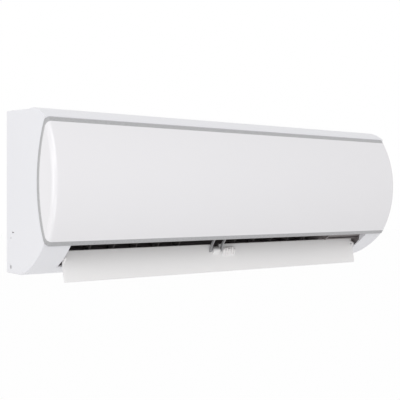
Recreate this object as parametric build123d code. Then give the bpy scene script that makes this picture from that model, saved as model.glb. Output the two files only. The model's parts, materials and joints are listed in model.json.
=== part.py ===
"""Wall-hung indoor unit of a split air conditioner.

Millimetres.  X runs along the unit, with the left end (seen from the front) at -X.
The wall is the plane Y = 0 and the front faces -Y.  Z is up.  The origin is the middle
of the wall plate's screw pattern, on the wall.
Places in the side view are (Y, Z) pairs.
"""

from build123d import *
from math import cos, hypot, radians, sin, sqrt
import os

# ------------------------------------------------------------ overall and casing
length = 800            # end face to end face
height = 288            # casing, bottom to top
depth = 203             # wall to the foremost line of the front panel
panel_bulge = 32.5      # middle of the panel in front of its upper and lower edges
wall = 2.5              # moulded wall of the casing
back_gap = 1            # rear edge of the casing off the wall
seam = 0.6              # gap between the panel's cap and the casing
fit = 0.3               # gap between fixed pieces that sit side by side
edge_rounding = 3       # rounding of the casing round its end faces

half = length / 2
top = height / 2
bottom = -height / 2
edge = panel_bulge - depth      # plane of the panel's upper and lower edges


def low(y, z):
    """Side-view place measured from the panel's edges and the casing's bottom."""
    return (edge + y, bottom + z)


def high(y, z):
    """Side-view place measured from the panel's edges and the casing's top."""
    return (edge + y, top + z)


panel_top = top - 26
panel_bottom = bottom + 55.5
panel_skin = 2.5
panel_recess = 33       # depth of the hollow in the casing that takes the cap
panel_corner = 9        # rounding between the panel's front and its ends
trim_width = 9.5        # silver band round the cap's back edge

shoulder = edge + 62.5  # where the flat top turns down towards the panel
shoulder_drop = 6.8     # fall of the top from the wall to there
brow = high(21.5, -13)  # a point on the curve above the panel
chin = low(9.3, 53)     # foot of the short slope under the panel
belly = low(45.2, 25.3)     # a point on the curved face that the louver closes
toe = low(86.5, 6)      # end of that curve
heel = low(110.5, 1)    # start of the flat bottom

# ------------------------------------------------------------ outlet and louver
outlet_half = half - 48     # half length of the outlet in the casing
pivot = low(44.65, 32.1)    # louver axis
louver_opening = 114.6  # turn of the louver from shut to the open rest position
louver_gap = 3          # louver to cheek
louver_free_edge = low(9, 53)       # where its front edge lies when shut
louver_bulge = low(29, 36)          # a point of its outer face when shut
louver_rear_edge = low(53, 21.5)
louver_thickness = 4.2
louver_pin_radius = 3
ear_width = 3.2
ear_radius = 4.8
ear_depth = 3.6         # louver's axis to the foot of an ear, inside the blade
running = 0.1           # radial clearance of a shaft in its hole
bracket_x = -31         # middle support of the louver
bracket_spread = 12.5   # from there to each strut
strut_thickness = 2
strut_width = 5.2
strut_bend = 12.3       # louver's axis to the bend in a strut
strut_bend_angle = 112
knuckle_width = 16
boss_span = (-16, 14)   # raised pad beside the louver's knuckle
louver_shaft_radius = 2
stepper_radius = 10
stepper_offset = 7.7    # stepper's body from its shaft
stepper_length = 19
louver_sweep = 13.8     # pivot to the louver's rear edge
louver_room_gap = 2.2
blank_wall = 2          # wall that closes the outlet's right end behind the louver
side_plate = 2          # dark plate behind the right cheek, which carries the stepper

# ------------------------------------------------------------ fan
duct_left = -half + 43  # inner faces of the chassis' two end walls
duct_right = half - 149
end_wall = 4
fan_centre = low(86.5, 114)
fan_radius = 43
fan_left = duct_left + 11
fan_right = duct_right - 11
fan_blades = 28
fan_sections = 5
blade_thickness = 1.4
blade_depth = 11
disc_thickness = 2.4
fan_shaft_radius = 4
bearing_seat_radius = 16

# ------------------------------------------------------------ chassis
scroll_centre = low(82.3, 108)
scroll_radius = 56.3
scroll_start = 51.3     # degrees, top of the scroll
scroll_end = -50.6      # degrees, where the scroll runs out into the flat floor
floor_length = 72
scroll_wall = 3
duct_roof_low = low(10.9, 59)       # outlet end of the duct's upper wall
duct_roof_high = low(40.3, 91)      # its inner end, at the tongue
back_plate_y = 12       # wall to the chassis' back plate
back_plate = 2.5
back_plate_top = top - 16
back_plate_bottom = bottom + 106
back_plate_half = half - 9
post_depth = 28         # wall to the front of the posts that take the side screws

# ------------------------------------------------------------ vanes
vanes_left = 6
vanes_right = 5
vanes_left_start = duct_left + 23
vanes_right_start = 35
vane_pitch = (duct_right - 28 - vanes_right_start) / (vanes_right - 1)
vane_thickness = 1.6
vane_place = 31         # pivot, measured up the floor from its lip
vane_pin_radius = 2.5
vane_lift = 2           # lower edge over the floor
link_reach = 14         # link pin from the vane's pivot
link_height = 16        # underside of the link bar over the floor
link_thickness = 3.5
link_width = 6
link_pin_radius = 1.2
link_clearance = 0.15

# ------------------------------------------------------------ coil
coil_left = duct_left + 17
coil_right = duct_right - 25
coil_thickness = 20
coil_front_y = edge + 17.5      # front face of the lower pack
coil_foot = bottom + 98
coil_waist = top - 100          # where the lower pack meets the sloping one
coil_crown = high(73.5, -27)    # middle of the ridge
coil_tail = low(132.5, 190)     # lower end of the rear pack, on its middle line
tube_radius = 3.5
tubes_per_pack = 4
coil_plate_thickness = 1.2
tube_overhang = 5       # straight tube outside the end plate
sensor_x = coil_right - 26
sensor_z = coil_foot + 51

# ------------------------------------------------------------ motor and right end
motor_left = duct_right + 11
motor_length = 42
motor_radius = 38
motor_shaft_radius = 4
ring_width = 6
box_left = half - 84
box_right = half - 10
box_front = edge + 44.5
box_back = -24
box_bottom = bottom + 86
box_top = top - 36
box_wall = 2
terminal_span = (half - 100, half - 22)     # opening for the terminals, along X
terminal_reach = (bottom + 108, bottom + 190)

# ------------------------------------------------------------ filters
filter_gap = 15         # panel's inner face to the front of the filters' rails
filter_thickness = 3
filter_reach = (panel_top - panel_bottom) / 2 - 33      # half height of a filter
rail_depth = 8
window_half = half - 26         # left edge of the casing's front window
window_right = duct_right + 1
window_reach = filter_reach + 8
rail_middle = -60
rail_width = 6
filter_left_span = (-window_half + 1, rail_middle - fit)
filter_right_span = (rail_middle + fit, window_right - 1)

# ------------------------------------------------------------ panel hinges
hinge = (edge + 12.5, panel_top + 1)
hinge_x = 235
hinge_pin_radius = 2.4
arm_width = 6
arm_gap = 1
arm_cover = 1.8         # casing left over the slots that the arms turn in
hinge_boss = 5.6
nose_radius = 10.8      # the casing's edge over the panel is cut to this about the hinge

# ------------------------------------------------------------ button and display
manual_button_radius = 3.5
button_x = duct_right + 27
button_z = bottom + 204
button_travel = 1.5
display_span = (duct_right + 11, duct_right + 43)
display_reach = (bottom + 110, bottom + 150)
board_thickness = 1.6
board_post = 2

# ------------------------------------------------------------ wall plate
plate_half = half - 60
plate_top = top - 46
plate_bottom = bottom + 52
plate_thickness = 1.2
plate_flange = 8
hole_spacing_x = 300
hole_spacing_z = 120
wall_hole_radius = 3.25
plate_window_width = 140
plate_window_side = 25    # plate's end to the outer windows
plate_window_height = 88
hook_places = (-250, 0, 250)
hook_width = 34
hook_height = top - 40

# ------------------------------------------------------------ pipes and drain
channel_y = -31         # axis of the gas pipe in the channel behind the outlet floor
gas_z = bottom + 18
liquid_z = bottom + 36
pipe_bend = 22
gas_x = box_left - 8
liquid_x = motor_left + 23
liquid_front_y = edge + 35
liquid_low_z = bottom + 65.5
gas_radius = 4.76
liquid_radius = 3.18
pipe_end = -60          # where the flare unions end
gas_thread_radius = 7.94
liquid_thread_radius = 5.56
gas_thread_length = 16
liquid_thread_length = 14
spout_radius = 7
plugged_spout_radius = 6.5
spout_wall = 2
spout_length = 17       # beyond the chassis' end wall
spout_root_radius = 8.5     # where a spout passes the end wall
spout_centre = low(34, 92)

# ------------------------------------------------------------ side screws
side_screw_radius = 1.95
side_screw_place = (-20.7, bottom + 12)
side_slot = (-29.5, bottom + 72.6)      # moulded marks on the end faces
side_dimple = (-20.7, bottom + 62.7)

# ------------------------------------------------------------ worked out
middle = (panel_top + panel_bottom) / 2
outer_window = plate_half - plate_window_side - plate_window_width / 2
plate_windows = (-outer_window, 0, outer_window)
chord = (panel_top - panel_bottom) / 2
front_radius = (chord**2 + panel_bulge**2) / (2 * panel_bulge)
front_centre = (front_radius - depth, middle)
back_radius = (chord**2 + panel_recess**2) / (2 * panel_recess)
back_centre = (edge + panel_recess - back_radius, middle)
floor_direction = (sin(radians(scroll_end)), -cos(radians(scroll_end)))
floor_normal = (floor_direction[1], -floor_direction[0])
floor_top = (
    scroll_centre[0] + scroll_radius * cos(radians(scroll_end)),
    scroll_centre[1] + scroll_radius * sin(radians(scroll_end)),
)
floor_lip = (
    floor_top[0] + floor_length * floor_direction[0],
    floor_top[1] + floor_length * floor_direction[1],
)


# ------------------------------------------------------------ drawing helpers
def side(*edges):
    """Face in the side view inside a loop of edges."""
    return make_face(Plane.YZ * (Curve() + list(edges)))


def polygon(*points):
    """Face in the side view with straight sides."""
    return make_face(Plane.YZ * Polyline(*points, close=True))


def disc(centre, radius):
    """Round face in the side view."""
    return Plane.YZ * (Pos(*centre) * Circle(radius))


def span(face, start, end):
    """Solid of a side-view face from one place on X to another."""
    return Pos(X=start) * extrude(face, end - start, dir=(1, 0, 0))


def rod(centre, radius, start, end):
    """Round bar along X."""
    return span(disc(centre, radius), start, end)


def block(x, y, z):
    """Box between pairs of coordinates."""
    corner = [min(pair) for pair in (x, y, z)]
    size = [abs(pair[1] - pair[0]) for pair in (x, y, z)]
    return Pos(*corner) * Box(*size, align=(Align.MIN,) * 3)


def turned(solid, about, angle):
    """Solid turned about an X-wise axis through a side-view point."""
    return solid.rotate(Axis((0, *about), (1, 0, 0)), angle)


def polar(centre, radius, angle):
    """Side-view point at an angle, in degrees from +Y towards +Z."""
    return (
        centre[0] + radius * cos(radians(angle)),
        centre[1] + radius * sin(radians(angle)),
    )


def shifted(point, direction, distance):
    return (point[0] + direction[0] * distance, point[1] + direction[1] * distance)


# ------------------------------------------------------------ casing and panel
def front_arc():
    return ThreePointArc((edge, panel_top), (-depth, middle), (edge, panel_bottom))


def back_arc():
    return ThreePointArc((edge, panel_bottom), (edge + panel_recess, middle), (edge, panel_top))


def top_slope(y):
    """Height of the casing's flat top at a distance from the wall."""
    return top - shoulder_drop * (y + back_gap) / (shoulder + back_gap)


def casing_section():
    """Outline of the closed casing with the hollow for the panel's cap."""
    outline = side(
        Line((-back_gap, top), (shoulder, top - shoulder_drop)),
        ThreePointArc((shoulder, top - shoulder_drop), brow, (edge, panel_top)),
        Line((edge, panel_top), (edge, panel_bottom + 9)),
        Line((edge, panel_bottom + 9), chin),
        ThreePointArc(chin, belly, toe),
        Line(toe, heel),
        Line(heel, (-back_gap, bottom)),
        Line((-back_gap, bottom), (-back_gap, top)),
    )
    return outline - disc(back_centre, back_radius + seam)


def outlet_cut():
    """Region of the side view that is open below the panel, along the outlet."""
    return polygon(low(-14.5, 56), low(15.5, 60), low(66, 26), low(62, 8), low(40.5, -11), low(-14.5, -6))


def cheek_section():
    """Region that the left cheek's inner wall fills, just inside the curved face."""
    inward = polygon(low(0.5, 56), low(10.5, 66), low(62.5, 38), low(66.5, 11), low(45.5, -6), low(-4.5, 14))
    floor = polygon(in_duct(-fit, fit), in_duct(60, fit), in_duct(60, -20), in_duct(-fit, -20))
    return (inward & offset(casing_section(), -0.01)) - floor - offset(pan_section(), fit)


def cheek_rim():
    """Narrower wall of the right cheek, with the dark side plate behind it."""
    inward = polygon(
        low(-4.5, 64), low(18.5, 66), low(26.5, 52), low(28, 42), low(44.5, 26.6), low(60.5, 18),
        low(64.5, 4), low(20.5, -16), low(-14.5, 24),
    )
    return inward & offset(casing_section(), -0.01)


def side_plate_section():
    """Plate that closes the space behind the right cheek."""
    outline = polygon(low(6, 66), low(20, 72), low(60, 66), low(76, 40), low(76, 4), low(20, -10), low(0, 50))
    return outline & inside_casing()


def filter_radius():
    return front_radius - panel_skin - filter_gap


def rail_section():
    """Curved rail behind the filters."""
    reach = window_reach + 6
    outer = filter_radius() - filter_thickness - fit
    ring = disc(front_centre, outer) - disc(front_centre, outer - rail_depth)
    start, end = edge - 30, edge + 70
    foot, head = middle - reach, middle + reach
    band = polygon((start, foot), (end, foot), (end, head), (start, head))
    return ring & band & disc(back_centre, back_radius + seam + wall)


def front_casing():
    section = casing_section()
    outer = span(section, -half, half)
    rim = [
        e for e in outer.edges()
        if half - abs(e.center().X) < 0.01 and edge + panel_recess + 30 < e.center().Y < -back_gap - 1
    ]
    outer = fillet(rim, edge_rounding)
    cavity = offset(section, -wall)
    rear = polygon((1, bottom + wall), (1, top - wall), (-9, top - wall - 0.4), (-9, bottom + wall + 0.2))
    inside = half - wall
    shell = outer - span(cavity, -inside, inside) - span(rear, -inside, inside)
    shell -= grille_opening(0)
    shell -= span(outlet_cut(), -outlet_half, outlet_half)
    shell += span(cheek_section(), -outlet_half - wall, -outlet_half)
    shell -= rod(pivot, louver_pin_radius + running, -outlet_half - wall - 1, -outlet_half + 1)
    shell += span(cheek_rim(), outlet_half, outlet_half + wall)
    reach_y = (edge - 30, edge + 70)
    shell -= block((-window_half, window_right), reach_y, (middle - window_reach, middle + window_reach))
    for x in (-window_half, rail_middle - rail_width / 2, window_right - rail_width):
        shell += span(rail_section(), x, x + rail_width)
    shell -= terminal_opening(0)
    nose = disc(hinge, 2 * nose_radius) - disc(hinge, nose_radius)
    nose &= polygon(
        (hinge[0] - 22, hinge[1] - 5.5), (hinge[0], hinge[1] - 5.5),
        (hinge[0], hinge[1] + 22), (hinge[0] - 22, hinge[1] + 22),
    )
    shell -= span(nose, -half - 1, half + 1)
    for x in (-hinge_x, hinge_x):
        slot = arm_width / 2 + arm_gap
        for face in arm_slot():
            shell -= span(face, x - slot, x + slot)
        for near, far in ((x - slot - 4, x - slot), (x + slot, x + slot + 4)):
            boss = polygon(
                (hinge[0] - hinge_boss, hinge[1]), (hinge[0] + hinge_boss, hinge[1]),
                (hinge[0] + hinge_boss, hinge[1] + 10), (hinge[0] - hinge_boss, hinge[1] + 6),
            ) + disc(hinge, hinge_boss)
            boss = span(boss & offset(casing_section(), -1), near, far)
            shell = shell + boss - rod(hinge, hinge_pin_radius + running, near - 1, far + 1)
    shell -= button_hole(manual_button_radius + fit)
    for direction in (-1, 1):
        shell -= side_screw_hole(direction)
    return shell


def arm_slot():
    """Side view of the slot for a hinge arm, under a thin cover of casing."""
    y, z = hinge
    under = Pos(0, 0, -arm_cover) * casing_section()
    under &= polygon((y - 22, z - 22), (y + 7, z - 22), (y + 7, z + 14), (y - 22, z + 14))
    return under, polygon((y - 22, z - 23), (y + 7, z - 23), (y + 7, z - 6), (y - 22, z - 6))


def grille_opening(margin):
    x = half - 15 + margin
    y_front = shoulder + 4 - margin
    return block((-x, x), (y_front, -20 + margin), (top - 20, top + 5))


def top_grille():
    """Slotted plate under the opening in the top."""
    grip = 6
    y_front = shoulder + 7 - grip
    y_back = -20 + grip
    thick = 2
    upper = [(y, top_slope(y) - wall - 0.02) for y in (y_front, y_back)]
    plate = polygon(upper[0], upper[1], (y_back, upper[1][1] - thick), (y_front, upper[0][1] - thick))
    grille = span(plate, -half + 15 - grip, half - 15 + grip)
    rows, columns = 3, 24
    pitch = (length - 46) / columns
    row_pitch = (-shoulder - 30) / rows
    slots = [
        block(
            (-half + 23 + column * pitch + 3, -half + 23 + (column + 1) * pitch - 3),
            (-24 - row * row_pitch, -24 - (row + 1) * row_pitch + 4),
            (top - 20, top + 5),
        )
        for row in range(rows) for column in range(columns)
    ]
    return grille - slots


def cap():
    """The panel's whole cap: front skin and lens-shaped ends, open at the back."""
    solid = span(side(front_arc(), back_arc()), -half, half)
    corners = [
        e for e in solid.edges()
        if half - abs(e.center().X) < 0.01 and e.center().Y < -depth + panel_bulge / 2
    ]
    solid = fillet(corners, panel_corner)
    hollow = span(disc(front_centre, front_radius - panel_skin), -half + panel_skin, half - panel_skin)
    hollow_corners = [
        e for e in hollow.edges() if half - panel_skin - abs(e.center().X) < 0.01
    ]
    hollow = fillet(hollow_corners, panel_corner - panel_skin)
    return solid - hollow


def band_limit():
    """Everything in front of the silver band."""
    return span(disc((back_centre[0] - trim_width, back_centre[1]), back_radius), -half - 1, half + 1)


def panel_arm(x):
    """Arm from the panel's skin to the hinge pin."""
    y, z = hinge
    outline = polygon(
        (y - 3.4, z - 3), (y - 3.4, z - 7.2), (y - 3.7, z - 10.2), (y - 6.8, z - 14.5), (y - 13, z - 17.5),
        (y - 24, z - 18.5), (y - 27, z - 28), (y - 14, z - 28), (y - 3, z - 20), (y + 2.5, z - 12),
        (y + 3.5, z - 2.5),
    )
    outline = outline & disc(front_centre, front_radius - panel_skin / 2)
    near, far = x - arm_width / 2, x + arm_width / 2
    pin = rod(hinge, hinge_pin_radius, near - arm_gap - 4, far + arm_gap + 4)
    arm = span(outline, near, far) + span(disc(hinge, 4.4), near, far)
    return arm + pin


def front_panel(whole):
    panel = whole & band_limit()
    for x in (-hinge_x, hinge_x):
        panel += panel_arm(x)
    return panel


def panel_trim(whole):
    return whole - band_limit()


# ------------------------------------------------------------ louver
def louver_directions():
    """Along the shut louver from its front edge to its rear, and into the casing."""
    span_y = louver_rear_edge[0] - louver_free_edge[0]
    span_z = louver_rear_edge[1] - louver_free_edge[1]
    size = hypot(span_y, span_z)
    return (span_y / size, span_z / size), (-span_z / size, span_y / size)


def louver_section():
    """Louver as it lies when shut, filling the curved face."""
    along, inward = louver_directions()
    lip = 2
    free_inner = shifted(shifted(louver_free_edge, inward, lip), along, 1.0)
    rear_inner = shifted(shifted(louver_rear_edge, inward, lip), along, -1.0)
    crease = shifted(louver_bulge, inward, louver_thickness)
    return side(
        ThreePointArc(louver_free_edge, louver_bulge, louver_rear_edge),
        Line(louver_rear_edge, rear_inner),
        Line(rear_inner, crease),
        Line(crease, free_inner),
        Line(free_inner, louver_free_edge),
    )


def ear_section():
    """Ear from the louver's inner face to its axis, as it lies when shut."""
    along, inward = louver_directions()
    foot = shifted(pivot, inward, -ear_depth)
    return polygon(
        shifted(pivot, along, -ear_radius), shifted(pivot, along, ear_radius),
        shifted(foot, along, ear_radius + 3), shifted(foot, along, -ear_radius - 8),
    )


def louver():
    section = louver_section()
    reach = outlet_half - louver_gap
    along, inward = louver_directions()
    blade = span(section, -reach, reach)
    blade -= louver_notch()
    knuckle = (bracket_x - knuckle_width / 2, bracket_x + knuckle_width / 2)
    for start, end in ((1 - reach, 1 - reach + ear_width), (reach - 1 - ear_width, reach - 1), knuckle):
        blade += span(ear_section(), start, end) + rod(pivot, ear_radius, start, end)
    foot = shifted(pivot, inward, -ear_depth)
    pad = polygon(
        shifted(foot, along, 6), shifted(shifted(foot, along, 4), inward, 7),
        shifted(shifted(foot, along, -3), inward, 7), shifted(foot, along, -15),
    )
    blade += span(pad, *boss_span)
    blade += rod(pivot, louver_pin_radius, -outlet_half - wall, -reach + 1 + ear_width)
    blade -= rod(pivot, louver_pin_radius - 1 + running, bracket_x - knuckle_width, bracket_x + knuckle_width)
    for x in (bracket_x - bracket_spread, bracket_x + bracket_spread):
        gap = strut_thickness / 2 + 0.5
        blade -= rod(pivot, strut_width / 2 + 0.8, x - gap, x + gap)
    blade -= rod(pivot, louver_shaft_radius, reach - 2 - ear_width, reach)
    return turned(blade, pivot, louver_opening)


def louver_notch():
    """Gap in the louver's rear edge between the struts."""
    along, inward = louver_directions()
    start = shifted(pivot, along, ear_radius + 1)
    gap = polygon(
        shifted(start, inward, 8), shifted(shifted(start, inward, 8), along, 20),
        shifted(shifted(start, inward, -12), along, 20), shifted(start, inward, -12),
    )
    return span(gap, bracket_x - bracket_spread + 2, bracket_x + bracket_spread - 2)


def louver_shaft():
    """Stepper's shaft in the louver's right ear."""
    return rod(pivot, louver_shaft_radius, outlet_half - louver_gap - 1 - ear_width, stepper_face() + 3)


def stepper_face():
    """Outer face of the side plate, where the stepper sits."""
    return outlet_half + wall + fit + side_plate


def louver_bracket():
    """Two struts from the duct's upper wall down to the louver's middle."""
    root = shifted(duct_roof(0.33), roof_normal(), -1)
    bend = polar(pivot, strut_bend, strut_bend_angle)
    reach = bracket_spread + strut_thickness / 2
    foot_line = duct_roof_direction()
    foot_start = duct_roof(0.5)
    foot = polygon(
        foot_start, shifted(foot_start, foot_line, 12),
        shifted(shifted(foot_start, foot_line, 12), roof_normal(), 1.6),
        shifted(foot_start, roof_normal(), 1.6),
    )
    bracket = span(foot, bracket_x - reach, bracket_x + reach)
    for x in (bracket_x - bracket_spread, bracket_x + bracket_spread):
        near, far = x - strut_thickness / 2, x + strut_thickness / 2
        bracket += span(slab(pivot, bend, strut_width), near, far)
        bracket += span(slab(bend, root, strut_width), near, far)
        bracket += rod(bend, strut_width / 2, near, far) + rod(pivot, strut_width / 2, near, far)
    bracket -= span(pan_section(), bracket_x - reach - 1, bracket_x + reach + 1)
    return bracket - rod(pivot, louver_pin_radius - 1, bracket_x - reach - 1, bracket_x + reach + 1)


def louver_pin():
    reach = bracket_spread + strut_thickness / 2
    return rod(pivot, louver_pin_radius - 1, bracket_x - reach, bracket_x + reach)


def louver_motor():
    """Stepper outside the right cheek, its body set off from its shaft."""
    along, inward = louver_directions()
    centre = shifted(pivot, inward, stepper_offset)
    reach = stepper_radius + 6
    face = stepper_face()
    body = rod(centre, stepper_radius, face, face + stepper_length)
    body -= rod(pivot, louver_shaft_radius + running, face - 1, face + 4)
    tabs = polygon(
        shifted(centre, along, -reach), shifted(centre, along, reach),
        shifted(shifted(centre, along, reach), inward, 5), shifted(shifted(centre, along, -reach), inward, 5),
    )
    return body + span(tabs, face, face + 1)


# ------------------------------------------------------------ outlet duct
def duct_roof(share):
    """Point on the duct's upper wall, from its outlet end up to the tongue."""
    return (
        duct_roof_low[0] + share * (duct_roof_high[0] - duct_roof_low[0]),
        duct_roof_low[1] + share * (duct_roof_high[1] - duct_roof_low[1]),
    )


def duct_roof_direction():
    y = duct_roof_low[0] - duct_roof_high[0]
    z = duct_roof_low[1] - duct_roof_high[1]
    return (y / hypot(y, z), z / hypot(y, z))


def roof_normal():
    """Across the duct, from its upper wall towards its floor."""
    along = duct_roof_direction()
    return (-along[1], along[0])


def pan_section():
    """Front drain pan: trough above, duct's upper wall below, tongue at the back."""
    return polygon(
        low(12.5, 102), low(20.3, 86), low(15.9, 69.5), low(10.1, 62), duct_roof_low, duct_roof_high,
        low(40.7, 106), low(39.2, 106), low(39, 94), low(32.5, 88), low(21.3, 88), low(14.3, 102),
    )


def trough_section():
    return polygon(low(12.5, 102), low(20.3, 86), low(32.5, 86), low(39.5, 94), low(39.5, 102))


def drain_pan():
    """Pan between the chassis' end walls, with ribs under the coil and two spouts."""
    pan = span(pan_section(), duct_left, duct_right)
    for x in (duct_left, duct_right - 2):
        pan += span(trough_section(), x, x + 2)
    rib = polygon(
        (edge + 23.5, coil_foot), (edge + 23.5, bottom + 87),
        (edge + 31.5, bottom + 87), (edge + 31.5, coil_foot),
    )
    for x in (coil_left + 20, (coil_left + coil_right) / 2, coil_right - 20):
        pan += span(rib, x - 1.5, x + 1.5)
    left, right = duct_left - end_wall, duct_right + end_wall
    pan += rod(spout_centre, spout_root_radius, left, duct_left + 1)
    pan += rod(spout_centre, spout_radius, left - spout_length, left)
    pan += rod(spout_centre, spout_root_radius, duct_right - 1, right)
    pan += rod(spout_centre, plugged_spout_radius, right, right + spout_length)
    pan -= rod(spout_centre, spout_radius - spout_wall, left - spout_length - 1, duct_left + 3)
    bore = plugged_spout_radius - spout_wall
    return pan - rod(spout_centre, bore, duct_right - 3, right + spout_length + 1)


def drain_plug():
    """Rubber cap on the spout that is not used."""
    start = duct_right + end_wall + 3
    end = duct_right + end_wall + spout_length
    plug = rod(spout_centre, plugged_spout_radius + 1.8, start, end + 2)
    plug -= rod(spout_centre, plugged_spout_radius, start - 1, end)
    return plug & span(inside_casing(), start - 1, end + 3)


def in_duct(place, rise):
    """Side-view point from its place up the floor and its height over it."""
    foot = shifted(floor_lip, floor_direction, -place)
    return shifted(foot, floor_normal, rise)


def scroll_section():
    """Scroll behind the fan and the flat floor of the outlet."""
    begin = polar(scroll_centre, scroll_radius, scroll_start)
    halfway = (scroll_start + scroll_end) / 2
    outer = scroll_radius + scroll_wall
    return side(
        ThreePointArc(begin, polar(scroll_centre, scroll_radius, halfway), floor_top),
        Line(floor_top, floor_lip),
        Line(floor_lip, shifted(floor_lip, floor_normal, -scroll_wall)),
        Line(shifted(floor_lip, floor_normal, -scroll_wall), shifted(floor_top, floor_normal, -scroll_wall)),
        ThreePointArc(
            shifted(floor_top, floor_normal, -scroll_wall),
            polar(scroll_centre, outer, halfway),
            polar(scroll_centre, outer, scroll_start),
        ),
        Line(polar(scroll_centre, outer, scroll_start), begin),
    )


def inside_casing():
    """Room in the side view within the casing's walls."""
    return offset(casing_section(), -(wall + fit))


def end_wall_solid(start, end):
    """End wall of the fan's space and the duct, cut back round the louver's path."""
    rear = -back_plate_y - 1
    outline = polygon(
        (rear, bottom + 166), (rear, bottom + 94), low(120.5, 60), low(60.5, 14), low(13, 61), low(24, 86),
        low(36, 96), low(43.5, 139), low(70.5, 170), low(108.5, 170),
    )
    solid = span(outline & inside_casing(), start, end)
    for face in (pan_section(), trough_section()):
        solid += span(face & inside_casing(), start, end)
    return solid - louver_room(start - 1, end + 1)


def louver_room(start, end):
    """Space that the louver sweeps inside the casing."""
    along, inward = louver_directions()
    near = shifted(louver_free_edge, inward, 7)
    far = shifted(louver_rear_edge, inward, 7)
    belt = polygon(near, far, shifted(far, inward, -30), shifted(near, inward, -30))
    return span(belt, start, end) + rod(pivot, louver_sweep + louver_room_gap, start, end)


def blank_solid(start, end):
    """Thin wall behind the louver where the outlet runs on past the duct."""
    inner = louver_sweep + louver_room_gap
    sector = polygon(low(20, 84), low(110, 84), low(110, 16), low(53, 16), pivot, low(20, 64))
    arc = (disc(pivot, inner + blank_wall) & sector) - disc(pivot, inner)
    roof = polygon(low(9.9, 62), low(34, 51.5), low(46, 50.5), low(46, 47), low(34, 48.8), low(10.5, 59.5))
    solid = span(arc & inside_casing(), start, end) + span(roof & inside_casing(), start, end)
    return solid - rod(pivot, inner, start - 1, end + 1)


def chassis():
    """Rear moulding that carries everything but the casing's own parts."""
    rear = -back_plate_y
    front = rear - back_plate
    left, right = duct_left - end_wall, duct_right + end_wall
    gutter_z = coil_tail[1] - 24
    gutter = polygon(
        (front + 1, gutter_z), low(118.5, 166), low(118, 152.6), low(114.5, 152), low(110.5, 166),
        low(108.5, 180), low(110, 180), low(112.5, 169), (front + 1, gutter_z + 3),
    )
    web = polygon((front + 1, bottom + 110), low(139.5, 110), low(139.5, 107), (front + 1, bottom + 107))
    plate_x = outlet_half + wall + fit
    rim_room = span(offset(cheek_rim(), fit), outlet_half - 1, plate_x + 1)
    solids = [
        block((-back_plate_half, back_plate_half), (front, rear), (back_plate_bottom, back_plate_top)),
        span(scroll_section() & inside_casing(), left, right),
        span(gutter, left, right),
        span(web, left, right),
        end_wall_solid(left, duct_left),
        end_wall_solid(duct_right, right),
        blank_solid(right - 1, outlet_half - fit),
        blank_solid(outlet_half - fit, plate_x) - rim_room,
        span(side_plate_section(), plate_x - 0.2, plate_x + side_plate),
        motor_cradle(),
    ]
    cuts = [
        rod(spout_centre, spout_root_radius, left - 1, duct_left + 1),
        rod(spout_centre, spout_root_radius, duct_right - 1, right + 1),
        rod(pivot, louver_shaft_radius + running, plate_x - 1, plate_x + side_plate + 1),
        rod(fan_centre, bearing_seat_radius, left - 1, duct_left + 1),
        rod(fan_centre, 20, duct_right - 1, right + 1),
    ]
    y, z = coil_tail
    rib = polygon((y - 12, z - 25), (y - 12, z - 1.5), (y - 8.2, z - 6.3), (y - 4, z - 3.1), (y - 4, z - 25))
    rib -= slab(*rear_line, coil_thickness)
    for x in (coil_left + 20, (coil_left + coil_right) / 2, coil_right - 20):
        solids.append(span(rib, x - 1.5, x + 1.5))
    for direction in (-1, 1):
        ends = sorted((direction * (half - 16), direction * (half - wall)))
        solids.append(block(ends, (-post_depth, rear), (bottom + wall + 2, box_bottom - 4)))
        solids.append(block(ends, (-20, rear), (box_bottom - 5, back_plate_bottom + 8)))
        cuts.append(rod(side_screw_place, side_screw_radius, ends[0] - 1, ends[1] + 1))
    for x in hook_places:
        sides = (x - hook_width / 2 - 2, x + hook_width / 2 + 2)
        slot_top = hook_height + plate_thickness + 0.1
        cuts.append(block(sides, (front - 1, rear + 1), (hook_height - 14, slot_top)))
    for x in vane_places():
        below = in_duct(vane_place, -scroll_wall + 1)
        solids.append(turned_rod(x, below, floor_normal, vane_pin_radius + 2, -4))
        cuts.append(turned_rod(x, in_duct(vane_place, 1), floor_normal, vane_pin_radius + running, -12))
    base = Part() + solids
    return base - cuts


def turned_rod(x, point, direction, radius, rise):
    """Round bar in the side-view plane, from a point along a direction."""
    plane = Plane(origin=(x, *point), z_dir=(0, *direction))
    return extrude(plane * Circle(radius), rise)


def motor_cradle():
    """Half ring under the motor, joined to the back plate."""
    inner = motor_radius + 3
    ring = disc(fan_centre, inner + 4) - disc(fan_centre, inner)
    y, z = fan_centre
    lower = polygon((y - 56, z), (y + 64, z), (y + 64, z - 60), (y - 56, z - 60))
    front = -back_plate_y - back_plate
    arm = polygon((front + 1, z), (front + 1, z - 7), (y + 42, z - 22), (y + 42, z)) - disc(fan_centre, inner)
    cradle = span((ring & lower) + arm, duct_right + end_wall, motor_left + 5 + ring_width)
    end = motor_left + motor_length
    web = polygon((y - 4, z - inner), (y + 4, z - inner), (y + 4, z - inner - 3), (y - 4, z - inner - 3))
    cradle += span(web, duct_right + end_wall, end - 3)
    return cradle + span(ring & lower, end - 5 - ring_width, end - 3)


# ------------------------------------------------------------ vanes
def vane_places():
    left = [vanes_left_start + i * vane_pitch for i in range(vanes_left)]
    right = [vanes_right_start + i * vane_pitch for i in range(vanes_right)]
    return left + right


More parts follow.
